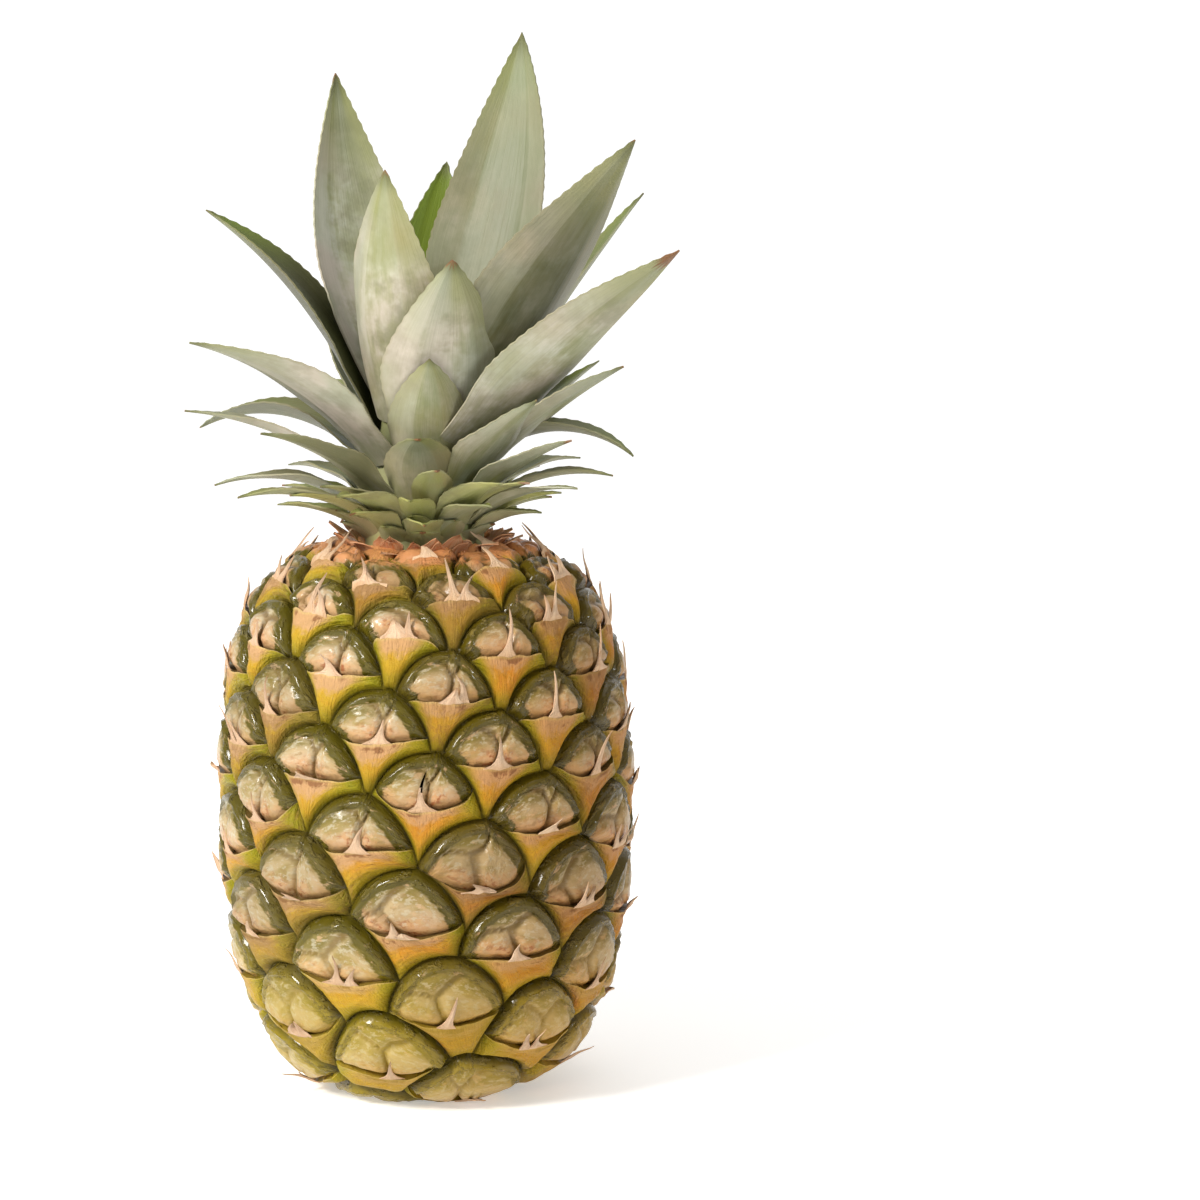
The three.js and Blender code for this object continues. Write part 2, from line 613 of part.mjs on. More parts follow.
const pineapple = new THREE.Group();
pineapple.name = "pineapple";
pineapple.add(named("fruit", makeFruit(crownRoom), COLOURS.fruit, 0.5));
pineapple.add(named("stem_stub", makeStub(), COLOURS.stub, 0.85));
pineapple.add(named("crown_stem", crownStem, COLOURS.crownStem, 0.6));
for (const { leaf, solid } of leaves) {
  pineapple.add(named(`leaf_${leaf.name}`, solid, COLOURS.leaf, 0.6));
}

export default pineapple;
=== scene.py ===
import random
from math import acos, atan2, cos, exp, hypot, pi, radians, sin

import bmesh
import bpy
import numpy as np
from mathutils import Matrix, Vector, noise


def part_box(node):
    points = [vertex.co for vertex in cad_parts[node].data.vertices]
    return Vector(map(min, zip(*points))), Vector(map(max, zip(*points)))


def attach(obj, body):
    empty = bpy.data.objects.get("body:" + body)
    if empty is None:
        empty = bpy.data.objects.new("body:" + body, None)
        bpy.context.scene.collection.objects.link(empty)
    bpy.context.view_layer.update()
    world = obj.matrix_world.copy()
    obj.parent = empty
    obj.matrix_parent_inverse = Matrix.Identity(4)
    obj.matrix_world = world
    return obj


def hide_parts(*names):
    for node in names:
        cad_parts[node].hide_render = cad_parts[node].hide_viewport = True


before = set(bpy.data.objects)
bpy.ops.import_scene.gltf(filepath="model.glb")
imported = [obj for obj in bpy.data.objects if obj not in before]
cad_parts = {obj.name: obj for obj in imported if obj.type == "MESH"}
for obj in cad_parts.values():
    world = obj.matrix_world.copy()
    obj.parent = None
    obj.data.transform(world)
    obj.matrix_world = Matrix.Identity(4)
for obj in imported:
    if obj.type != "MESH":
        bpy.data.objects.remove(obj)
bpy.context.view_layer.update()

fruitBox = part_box("fruit")
mm = 0.001  # the tables below are in millimetres, as the solids' own are


# Camera, lights and floor.
studio = {
    "target": (0.051, 0.0, 0.143), "distance": 1.0, "elevation": 8.0, "lens": 102.9, "sensor": 36, "nearest": 0.01,
    "lampTarget": (0, 0, 0.15),
    "lamps": [  # name, place, size, watts, colour
        ("keyLamp", (-1.1, -1.0, 1.05), 0.4, 36.5, (1.0, 0.97, 0.93)),
        ("fillLamp", (1.2, -0.8, 0.5), 0.4, 1.0, (1.0, 0.8, 0.55)),
        ("topLamp", (0.1, 0.35, 1.5), 1.1, 4.0, (1.0, 1.0, 1.0)),
    ],
    "crownLamp": {  # a narrow beam on the leaves alone
        "place": (0.95, -1.35, 0.8), "target": (0, 0, 0.275), "watts": 130.0, "cone": 9.5, "radius": 0.2,
        "colour": (0.9, 0.96, 1.0),
    },
    "sky": 0.48,
    "floor": {
        "size": 12, "at": (0, 0, 0), "rough": 0.75, "specular": 0.2, "grain": (3.0, 3.0),
        "tones": ((0.93, 0.93, 0.925), (0.96, 0.96, 0.955)), "glow": 0.4,
    },
    "backdrop": {
        "size": 9, "at": (0, 4.6, 0), "rough": 1.0, "specular": 0.0, "grain": (0.8, 2.0),
        "tones": ((0.93, 0.93, 0.93), (0.96, 0.96, 0.955)), "base": (0.1, 0.1, 0.1), "glow": 1.06,
    },
}


def lookFrom(place, target):
    return (Vector(target) - Vector(place)).to_track_quat("-Z", "Y").to_euler()


def addLamp(kind, name, place, target, watts, colour):
    bpy.ops.object.light_add(type=kind, location=place, rotation=lookFrom(place, target))
    lamp = bpy.context.object
    lamp.name = name
    lamp.data.energy = watts
    lamp.data.color = colour
    return lamp.data


def addStagePlane(name, look, turned=0.0):
    bpy.ops.mesh.primitive_plane_add(size=look["size"], location=look["at"], rotation=(radians(turned), 0, 0))
    bpy.context.object.name = name
    return bpy.context.object


def setUpStudio():
    lift = radians(studio["elevation"])
    target = Vector(studio["target"])
    place = target + studio["distance"] * Vector((0, -cos(lift), sin(lift)))
    bpy.ops.object.camera_add(location=place, rotation=lookFrom(place, target))
    camera = bpy.context.object
    camera.data.lens = studio["lens"]
    camera.data.sensor_width = studio["sensor"]
    camera.data.clip_start = studio["nearest"]
    bpy.context.scene.camera = camera
    for name, spot, size, watts, colour in studio["lamps"]:
        addLamp("AREA", name, spot, studio["lampTarget"], watts, colour).size = size
    beam = studio["crownLamp"]
    lamp = addLamp("SPOT", "crownLamp", beam["place"], beam["target"], beam["watts"], beam["colour"])
    lamp.spot_size = radians(beam["cone"])
    lamp.spot_blend = 1.0
    lamp.shadow_soft_size = beam["radius"]
    world = bpy.data.worlds.new("paleStudio")
    bpy.context.scene.world = world
    world.use_nodes = True
    sky = world.node_tree.nodes["Background"]
    sky.inputs["Color"].default_value = (1, 1, 1, 1)
    sky.inputs["Strength"].default_value = studio["sky"]
    bpy.context.scene.view_settings.view_transform = "Standard"
    floor = addStagePlane("paleFloor", studio["floor"])
    backdrop = addStagePlane("paleBackdrop", studio["backdrop"], 90)
    return floor, backdrop


floor, backdrop = setUpStudio()
print("camera, lights and floor are in place")


# Small helpers for nodes. They all add to the tree on the bench.
bench = {"tree": None}


def addNode(kind, **settings):
    node = bench["tree"].nodes.new("ShaderNode" + kind)
    for name, value in settings.items():
        setattr(node, name, value)
    return node


def wire(value, socket):
    if isinstance(value, bpy.types.NodeSocket):
        bench["tree"].links.new(value, socket)
    elif isinstance(value, tuple) and len(value) == 3 and socket.type == "RGBA":
        socket.default_value = (*value, 1.0)
    else:
        socket.default_value = value


def wireAll(node, values):  # the values by the names of the sockets that they go to
    for name, value in values.items():
        wire(value, node.inputs[name])


def mathOf(operation, *values, clamp=False):
    node = addNode("Math", operation=operation, use_clamp=clamp)
    for value, socket in zip(values, node.inputs):
        wire(value, socket)
    return node.outputs[0]


def plus(first, second, clamp=False):
    return mathOf("ADD", first, second, clamp=clamp)


def minus(first, second):
    return mathOf("SUBTRACT", first, second)


def times(first, *others, clamp=False):
    for other in others:
        first = mathOf("MULTIPLY", first, other, clamp=clamp)
    return first


def blend(amount, first, second, way="MIX"):
    node = addNode("Mix", data_type="RGBA", blend_type=way)
    for value, socket in zip((amount, first, second), (node.inputs[0], node.inputs[6], node.inputs[7])):
        wire(value, socket)
    return node.outputs[2]


def layered(tone, base, *layers):  # each layer is a mask and the colour it lays on, by name or wired
    for mask, colour in layers:
        base = blend(mask, base, tone[colour] if isinstance(colour, str) else colour)
    return base


def between(amount, first, second):
    node = addNode("Mix")
    for value, socket in zip((amount, first, second), (node.inputs[0], node.inputs[2], node.inputs[3])):
        wire(value, socket)
    return node.outputs[0]


def step(value, low, high, start=0.0, end=1.0):  # a soft change from start to end as value goes from low to high
    node = addNode("MapRange", interpolation_type="SMOOTHSTEP")
    wireAll(node, {"Value": value, "From Min": low, "From Max": high, "To Min": start, "To Max": end})
    return node.outputs["Result"]


def grainOf(vector, scale, detail=3.0, rough=0.55, twist=0.0):
    node = addNode("TexNoise")
    wireAll(node, {"Vector": vector, "Scale": scale, "Detail": detail, "Roughness": rough, "Distortion": twist})
    return node.outputs["Fac"]


def patchOf(vector, look):  # the look is the grain's scale, detail and roughness, then its change into the patch
    grain, span = look
    return step(grainOf(vector, *grain), *span)


def partsOf(vector):
    node = addNode("SeparateXYZ")
    wire(vector, node.inputs[0])
    return node.outputs[0], node.outputs[1], node.outputs[2]


def joined(x, y, z=0.0):
    node = addNode("CombineXYZ")
    for value, socket in zip((x, y, z), node.inputs):
        wire(value, socket)
    return node.outputs[0]


def uvOf(name):
    return addNode("UVMap", uv_map=name).outputs[0]


def drawOf(name):  # red, green, blue and alpha of a painted attribute
    node = addNode("Attribute", attribute_name=name)
    split = addNode("SeparateColor")
    wire(node.outputs["Color"], split.inputs[0])
    return split.outputs[0], split.outputs[1], split.outputs[2], node.outputs["Alpha"]


def objectPlace():
    return addNode("TexCoord").outputs["Object"]


def bumpOf(height, distance, strength):
    node = addNode("Bump")
    wireAll(node, {"Height": height, "Distance": distance, "Strength": strength})
    return node.outputs["Normal"]


def freshMaterial(name, rough, specular):
    made = bpy.data.materials.new(name)
    made.use_nodes = True
    bench["tree"] = made.node_tree
    shader = made.node_tree.nodes["Principled BSDF"]
    wireAll(shader, {"Roughness": rough, "Specular IOR Level": specular})
    return made, shader


def newGroup(name, takes, gives):
    made = bpy.data.node_groups.new(name, "ShaderNodeTree")
    for label, value in takes.items():
        kind = "NodeSocketVector" if value is None else "NodeSocketFloat"
        socket = made.interface.new_socket(name=label, in_out="INPUT", socket_type=kind)
        if value is not None:
            socket.default_value = value
    for label in gives:
        made.interface.new_socket(name=label, in_out="OUTPUT", socket_type="NodeSocketFloat")
    bench["tree"] = made
    return made, made.nodes.new("NodeGroupInput").outputs, made.nodes.new("NodeGroupOutput")


def placed(group, **values):  # one use of a shared group
    node = addNode("Group", node_tree=group)
    wireAll(node, values)
    return node.outputs


sharedLooks = {
    "fine": ((1.0, 4.0, 0.6), (0.3, 0.7)), "broad": ((0.28, 2.0, 0.5), (0.36, 0.64)),
    "spots": {"grain": (5.0, 0.65, 0.4), "limit": 0.78, "reach": 0.4, "soft": 0.07},
    "bloom": {"grain": (4.0, 0.6), "dust": 9.0, "dustDetail": 2.0, "dustShare": 0.25, "limit": 0.72, "reach": 0.5,
              "soft": 0.3},
}


def makeFibreGroup():  # long fibres that run along Y of the given vector
    tree, taken, given = newGroup("plantFibres", {"Vector": None, "Across": 20.0, "Along": 1.0}, ("Fine", "Broad"))
    x, y, z = partsOf(taken["Vector"])
    wide = joined(times(x, taken["Across"]), times(y, taken["Along"]), z)
    wireAll(given, {"Fine": patchOf(wide, sharedLooks["fine"]), "Broad": patchOf(wide, sharedLooks["broad"])})
    return tree


def makeSpotGroup():  # sparse marks such as scuffs, dry specks and dirt
    tree, taken, given = newGroup("sparseMarks", {"Vector": None, "Scale": 10.0, "Amount": 0.3}, ("Mask",))
    look = sharedLooks["spots"]
    patches = grainOf(taken["Vector"], taken["Scale"], *look["grain"])
    limit = minus(look["limit"], times(taken["Amount"], look["reach"]))
    wireAll(given, {"Mask": step(patches, limit, plus(limit, look["soft"]))})
    return tree


def makeBloomGroup():  # the pale waxy film on leaves, thin where it has been rubbed
    tree, taken, given = newGroup("waxyBloom", {"Vector": None, "Scale": 40.0, "Amount": 0.6}, ("Mask", "Grain"))
    look = sharedLooks["bloom"]
    film = grainOf(taken["Vector"], taken["Scale"], *look["grain"])
    dust = grainOf(taken["Vector"], times(taken["Scale"], look["dust"]), look["dustDetail"])
    spread = plus(film, times(minus(dust, 0.5), look["dustShare"]))
    limit = minus(look["limit"], times(taken["Amount"], look["reach"]))
    wireAll(given, {"Mask": step(spread, limit, plus(limit, look["soft"])), "Grain": dust})
    return tree


def fibresOn(vector, across, along):
    return placed(fibreGroup, Vector=vector, Across=across, Along=along)


fibreGroup = makeFibreGroup()
spotGroup = makeSpotGroup()
bloomGroup = makeBloomGroup()
print("shared node groups are built")


# Small helpers for meshes.
def deselectAll():
    if bpy.context.object and bpy.context.object.mode != "OBJECT":
        bpy.ops.object.mode_set(mode="OBJECT")
    bpy.ops.object.select_all(action="DESELECT")


def pick(*pieces):
    deselectAll()
    for piece in pieces:
        piece.select_set(True)
    bpy.context.view_layer.objects.active = pieces[0]


def applyAll(piece):
    pick(piece)
    for modifier in list(piece.modifiers):
        bpy.ops.object.modifier_apply(modifier=modifier.name)


def smoothed(piece, angle):
    pick(piece)
    bpy.ops.object.shade_smooth_by_angle(angle=radians(angle))


def joinedPieces(name, parts):
    pick(*parts)
    bpy.ops.object.join()
    piece = bpy.context.object
    piece.name = piece.data.name = name
    return piece


def newPiece(name, mesh):
    piece = bpy.data.objects.new(name, mesh)
    bpy.context.collection.objects.link(piece)
    return piece


def cutAcross(heights):  # the piece in edit mode gets a ring of edges at each height
    for height in heights:
        bpy.ops.mesh.select_all(action="SELECT")
        bpy.ops.mesh.bisect(plane_co=(0, 0, height * mm), plane_no=(0, 0, 1))


def keptIn(points):  # metres; nothing stands proud of the solid fruit's own box
    return np.clip(points, np.array(fruitBox[0]), np.array(fruitBox[1]))


def settle(piece, node):  # every piece rides on the one body and stands for one solid
    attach(piece, "root")
    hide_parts(node)
    return piece


def paint(mesh, name, rows):  # one colour for each face corner
    layer = mesh.color_attributes.new(name, "FLOAT_COLOR", "CORNER")
    layer.data.foreach_set("color", np.asarray(rows, dtype=np.float32).ravel())


def paintAll(mesh, name, row):
    paint(mesh, name, np.tile(row, (len(mesh.loops), 1)))


def coordsOf(mesh):
    flat = np.empty(len(mesh.vertices) * 3)
    mesh.vertices.foreach_get("co", flat)
    return flat.reshape(-1, 3)


def easing(x):
    x = np.clip(x, 0, 1)
    return x * x * (3 - 2 * x)


def bump(x, middle, width):  # a smooth rise to 1 round the middle
    return np.exp(-((x - middle) / width) ** 2)


def noiseAt(points, scale, shift):
    return np.array([noise.noise(Vector((x * scale, y * scale, z * scale + shift))) for x, y, z in points])


# The skin, laid out on a unit sphere as the solid's is.
skinTable = [
    (0, 159), (16, 158.9), (27, 157.6), (36, 154.2), (44, 148.2), (49.8, 140), (53.4, 130),
    (55.8, 118), (57.2, 104), (57.8, 88), (57.6, 72), (56.4, 56), (54, 41), (50.4, 28), (45, 17),
    (37.6, 8.2), (28, 3.4), (16, 1.9), (0, 1.7),
]
skinSteps = {"coarse": 200, "fine": 600, "roundness": 57.0}
eyes = {
    "count": 116, "first": 0.33, "divergence": radians(137.4), "middle": 51, "middleAzimuth": radians(3.4),
    "twist": (-0.049, 0.061), "twistOver": 50, "sizeGradient": 1.03, "jitter": 0.012, "seed": 11,
    "edgeSteps": 10, "arch": 0.2,
    "shieldRows": 9, "domeRows": 16,
    "shieldHeight": 3.25, "domeHeight": 2.75, "ledgeSag": (0.07, 0.3), "ledgeSlant": 0.1, "overhang": 0.7,
}


def seededDraw(seed):  # the solid's own repeatable draw
    state = [seed]

    def draw():
        state[0] = (state[0] * 1664525 + 1013904223) % 4294967296
        return state[0] / 4294967296
    return draw


def splinePoint(t):
    last = len(skinTable) - 1
    place = last * t
    i = min(int(place), last)
    w = place - i
    near = [skinTable[min(max(k, 0), last)] for k in (i - 1, i, i + 1, i + 2)]
    return tuple(
        (2 * b - 2 * c + (c - a) / 2 + (d - b) / 2) * w ** 3
        + (-3 * b + 3 * c - (c - a) - (d - b) / 2) * w ** 2 + (c - a) / 2 * w + b
        for a, b, c, d in zip(*near)
    )


def layOutSkin():
    steps, divisions = skinSteps["fine"], skinSteps["coarse"]
    coarse = np.array([splinePoint(k / divisions) for k in range(divisions + 1)])
    lengths = np.concatenate([[0], np.cumsum(np.hypot(*np.diff(coarse, axis=0).T))])
    shares = np.interp(np.linspace(0, lengths[-1], steps + 1), lengths, np.linspace(0, 1, divisions + 1))
    profile = np.array([splinePoint(t) for t in shares])
    stride = np.hypot(*np.diff(profile, axis=0).T)
    middleRadius = np.maximum((profile[1:, 0] + profile[:-1, 0]) / 2, 1e-3)
    area = np.concatenate([[0], np.cumsum(2 * pi * middleRadius * stride)])
    stretch = np.concatenate([[0], np.cumsum(stride / middleRadius)])
    ahead = np.vstack([profile[1:], profile[-1:]])
    behind = np.vstack([profile[:1], profile[:-1]])
    along = (ahead - behind) / np.hypot(*(ahead - behind).T)[:, None]
    middle = stretch[np.argmax(area >= area[-1] / 2)]
    return {
        "radius": np.maximum(profile[:, 0], 0), "height": profile[:, 1], "area": area,
        "outR": -along[:, 1], "outZ": along[:, 0], "polar": 2 * np.arctan(np.exp(stretch - middle)),
    }


skin = layOutSkin()


def onSkin(directions, lifts):  # rows of unit vectors and heights off the skin, in millimetres
    directions = np.atleast_2d(directions)
    polar = np.arccos(np.clip(directions[:, 2], -1, 1))
    row = {key: np.interp(polar, skin["polar"], skin[key]) for key in ("radius", "height", "outR", "outZ")}
    flat = np.hypot(directions[:, 0], directions[:, 1])
    flat[flat == 0] = 1
    radius = row["radius"] + row["outR"] * lifts
    return np.column_stack([directions[:, 0] / flat * radius, directions[:, 1] / flat * radius,
                            row["height"] + row["outZ"] * lifts])


def eyeCentres():
    draw = seededDraw(eyes["seed"])
    centres = []
    for i in range(eyes["count"]):
        share = (i + eyes["first"]) / eyes["count"]
        covered = share + eyes["sizeGradient"] / 2 * share * (1 - share)
        polar = float(np.interp(skin["area"][-1] * (1 - covered), skin["area"], skin["polar"]))
        past = i - eyes["middle"]
        swung = past / eyes["twistOver"]
        swing = eyes["twist"][0] * swung ** 2 + eyes["twist"][1] * swung ** 3
        azimuth = eyes["middleAzimuth"] + past * eyes["divergence"] + swing
        centre = np.array([sin(polar) * sin(azimuth), -sin(polar) * cos(azimuth), cos(polar)])
        stray = np.array([draw() - 0.5, draw() - 0.5, draw() - 0.5])
        centre += stray * 2 * eyes["jitter"] * sin(polar)
        centres.append(centre / np.linalg.norm(centre))
    return centres


def eastNorth(direction):
    east = np.array([-direction[1], direction[0], 0.0])
    east /= np.linalg.norm(east)
    return east, np.cross(direction, east)


def unit(v):
    return v / np.linalg.norm(v, axis=-1, keepdims=True)


def eyeCells(centres):  # the hull's faces stand for the corners that cells share
    hull = bmesh.new()
    for centre in centres:
        hull.verts.new(centre)
    hull.verts.ensure_lookup_table()
    bmesh.ops.convex_hull(hull, input=hull.verts[:])
    bmesh.ops.triangulate(hull, faces=hull.faces[:])
    hull.verts.ensure_lookup_table()
    hull.faces.index_update()
    cells = []
    for i, centre in enumerate(centres):
        east, north = eastNorth(centre)
        corners = []
        for face in hull.verts[i].link_faces:
            a, b, c = [np.array(v.co, dtype=float) for v in face.verts]
            across = unit(np.cross(b - a, c - a))
            corners.append((face.index, across if across @ a > 0 else -across))
        corners.sort(key=lambda c: atan2(c[1] @ north, c[1] @ east))
        cells.append({"centre": centre, "corners": corners, "east": east, "north": north})
    hull.free()
    return cells


def archedSide(start, end, share):
    direction = unit(start + (end - start) * share)
    east, north = eastNorth(direction)
    side = end - start
    square = np.cross(direction, side)
    square *= np.sign(square @ north) / np.linalg.norm(side)
    return unit(direction + square * eyes["arch"] * abs(side @ east) * 4 * share * (1 - share))


def toPath(points, path):  # how far each point is from a run of straight pieces
    a, b = path[:-1], path[1:]
    run = b - a
    t = np.einsum("pkc,kc->pk", points[:, None] - a[None], run) / np.maximum((run * run).sum(1), 1e-9)
    near = a[None] + np.clip(t, 0, 1)[..., None] * run[None]
    return np.linalg.norm(points[:, None] - near, axis=2).min(1)


cells = eyeCells(eyeCentres())
print("fruitlets laid out:", len(cells))


# The rind: every fruitlet with its bract's shield, ledge and dome. The rows of a fruitlet's mesh run from
# its lower border up to its upper one, and its columns from west to east.
rindLook = {
    "groove": 0.7, "domeGroove": 0.8, "shieldGroove": 0.7,
    "wallWide": 1.25, "foot": 0.2, "footWide": 3.6, "fall": 0.16,
    "rimAt": 2.2, "rimWide": 0.8, "rimHeight": 0.4, "rimGrain": 0.55, "dipAt": 3.7, "dipWide": 0.55, "dip": 0.4,
    "puffFrom": 3.4, "puffWide": 1.4, "puff": 0.75, "puffFold": 1.5, "topDrop": 0.3,
    "creaseDepth": 1.1, "creaseWide": 0.8, "creaseFrom": 2.2, "creaseFade": 1.6,
    "shieldEdge": 1.3, "hollow": 0.75, "hollowAt": 0.28, "hollowTall": 0.17, "hollowWide": 0.55,
    "cheek": 0.3, "cheekAt": 0.62, "cheekWide": 0.16, "cheekLow": 0.1, "cheekTall": 0.3,
    "seamLean": 0.12, "seamFork": (0.4, 0.56), "seamEnd": (0.52, 0.92), "seamSpread": 0.2,
    "grain": 0.32, "grainScale": 0.42, "grainFrom": 0.4,
    "lipScale": 4.1, "lipLift": 0.2, "behind": 0.03, "shieldBunch": 1.15, "domeBunch": 1.25,
    "beads": 1.6, "beadBase": 0.55, "beadSwing": 0.9, "beadSpan": (0.1, 1.7), "topWithin": 0.8,
    "lip": 0.75, "lipSwing": 0.9, "lipRow": 0.5, "noiseSpan": 900, "grainShift": 0.3, "rulerShift": 0.37,
    "corner": (-0.02, 0.05), "offCrease": 3.0, "seed": 7, "smoothAngle": 55,
}
rulerSpans = {"border": 10.0, "ledge": 20.0, "crease": 5.0}  # millimetres that the painted 0 to 1 stands for
# how orange the shields turn: riper low down and at random; the rise to the east is partly painted warm reflected
# light
ripeness = {"base": 0.42, "east": 0.35, "eastSpan": 60.0, "high": 0.22, "highSpan": 80, "hue": 0.6}


def domeHeight(a, d, e, q, top, beads):  # across, then how far to the arch, the ledge and the nearest crease
    look = rindLook
    wall = 1 - np.exp(-(d / look["wallWide"]) ** 1.6)
    foot = look["foot"] + (1 - look["foot"]) * easing(e / look["footWide"])
    height = eyes["domeHeight"] * wall * foot * ((1 - look["fall"]) + look["fall"] * (1 - a * a))
    height += look["rimHeight"] * bump(d, look["rimAt"], look["rimWide"]) * beads * foot
    height -= look["dip"] * bump(d, look["dipAt"], look["dipWide"]) * foot
    inner = easing((d - look["puffFrom"]) / look["puffWide"]) * foot
    height += look["puff"] * inner * (1 - bump(q, 0, look["puffFold"])) - look["topDrop"] * top * inner
    crease = look["creaseDepth"] * bump(q, 0, look["creaseWide"])
    height -= crease * easing((d - look["creaseFrom"]) / look["creaseFade"]) * foot
    return height - look["groove"] * bump(d, 0, look["domeGroove"])


def shieldHeight(a, s, d):  # across, down from the ledge and how far to the border
    look = rindLook
    face = np.sqrt(np.maximum(1 - a ** 4, 0)) * np.maximum(1 - s ** 2.2, 0) ** 0.6
    edge = 1 - np.exp(-(d / look["shieldEdge"]) ** 1.3)
    face = eyes["shieldHeight"] * face * edge
    face -= look["hollow"] * bump(s, look["hollowAt"], look["hollowTall"]) * bump(a, 0, look["hollowWide"])
    cheeks = look["cheek"] * bump(np.abs(a), look["cheekAt"], look["cheekWide"])
    face = np.maximum(face - cheeks * bump(s, look["cheekLow"], look["cheekTall"]), 0)
    return face - look["groove"] * bump(d, 0, look["shieldGroove"])


def drawEye(draw):  # what makes one fruitlet differ from the next
    return {
        "sag": draw.uniform(*eyes["ledgeSag"]), "slant": draw.uniform(-eyes["ledgeSlant"], eyes["ledgeSlant"]),
        "lean": draw.uniform(-rindLook["seamLean"], rindLook["seamLean"]),
        "fork": draw.uniform(*rindLook["seamFork"]), "offset": draw.uniform(0, rindLook["noiseSpan"]),
        "tone": draw.random(), "wear": draw.random(), "hue": draw.random(),
    }


def addPoint(sheet, direction, lift):
    sheet["directions"].append(direction)
    sheet["lifts"].append(lift)
    return len(sheet["directions"]) - 1


def borderOf(sheet, cell):  # indexes and directions all the way round; neighbours share corners and sides
    border = []
    for k, (key, corner) in enumerate(cell["corners"]):
        nextKey, nextCorner = cell["corners"][(k + 1) % len(cell["corners"])]
        if key not in sheet["corners"]:
            sheet["corners"][key] = addPoint(sheet, corner, -rindLook["groove"])
        side = tuple(sorted((key, nextKey)))
        if side not in sheet["sides"]:
            shares = [j / eyes["edgeSteps"] for j in range(1, eyes["edgeSteps"])]
            inner = [archedSide(corner, nextCorner, share) for share in shares]
            inner = [(addPoint(sheet, direction, -rindLook["groove"]), direction) for direction in inner]
            sheet["sides"][side] = (key, inner)
        start, inner = sheet["sides"][side]
        border.append((sheet["corners"][key], corner))
        border += inner if start == key else inner[::-1]
    return border


def splitBorder(cell, border):  # into a lower and an upper run between the same two ends
    count = len(border)
    columns = count // 2
    ends = [(border[k][1], border[(k + columns) % count][1]) for k in range(count)]
    starts = [k for k, (west, east) in enumerate(ends) if west @ cell["east"] < east @ cell["east"]]
    left = min(starts, key=lambda k: abs(ends[k][0][2] - ends[k][1][2]))
    return [[border[(left + way * j) % count] for j in range(columns + 1)] for way in (1, -1)]


def fillEye(cell, eye, lower, upper):  # directions of the inner columns, and how far across and up each one is
    west, east = lower[0][1], lower[-1][1]
    half = np.linalg.norm(west - east) / 2
    columns = len(lower) - 1
    inside, shape = [], []
    for j in range(1, columns):
        a = 2 * j / columns - 1
        ledge = west + (east - west) * j / columns
        level = cell["centre"] + cell["east"] * a * half
        ledge = ledge + (level - ledge) * (1 - a ** 4)
        dip = eye["sag"] * (1 - a * a) + eye["slant"] * a * (1 - a * a)
        ledge = unit(ledge - cell["north"] * dip * half)
        behind = unit(ledge + cell["north"] * rindLook["behind"] * half)
        for k in range(eyes["shieldRows"] - 1, -1, -1):
            s = (k / eyes["shieldRows"]) ** rindLook["shieldBunch"]
            inside.append(unit(ledge + (lower[j][1] - ledge) * s))
            shape.append((a, -s))
        for k in range(eyes["domeRows"]):
            u = 1 - (1 - k / eyes["domeRows"]) ** rindLook["domeBunch"]
            inside.append(unit(behind + (upper[j][1] - behind) * u))
            shape.append((a, u))
    return np.array(inside), np.array(shape)


def toCreases(eye, flat, halfWide, tall):  # one seam up the middle of the dome that forks into two
    lean, fork = eye["lean"], eye["fork"]
    across, up = rindLook["seamEnd"]
    fromTo = [[lean * halfWide * 0.5, -1, 0], [lean * halfWide, fork * tall, 0]]
    ends = [[(lean + way * across) * halfWide, up * tall, 0] for way in (-1, 1)]
    runs = [fromTo] + [[fromTo[1], end] for end in ends]
    return np.minimum.reduce([toPath(flat, np.array(run)) for run in runs])


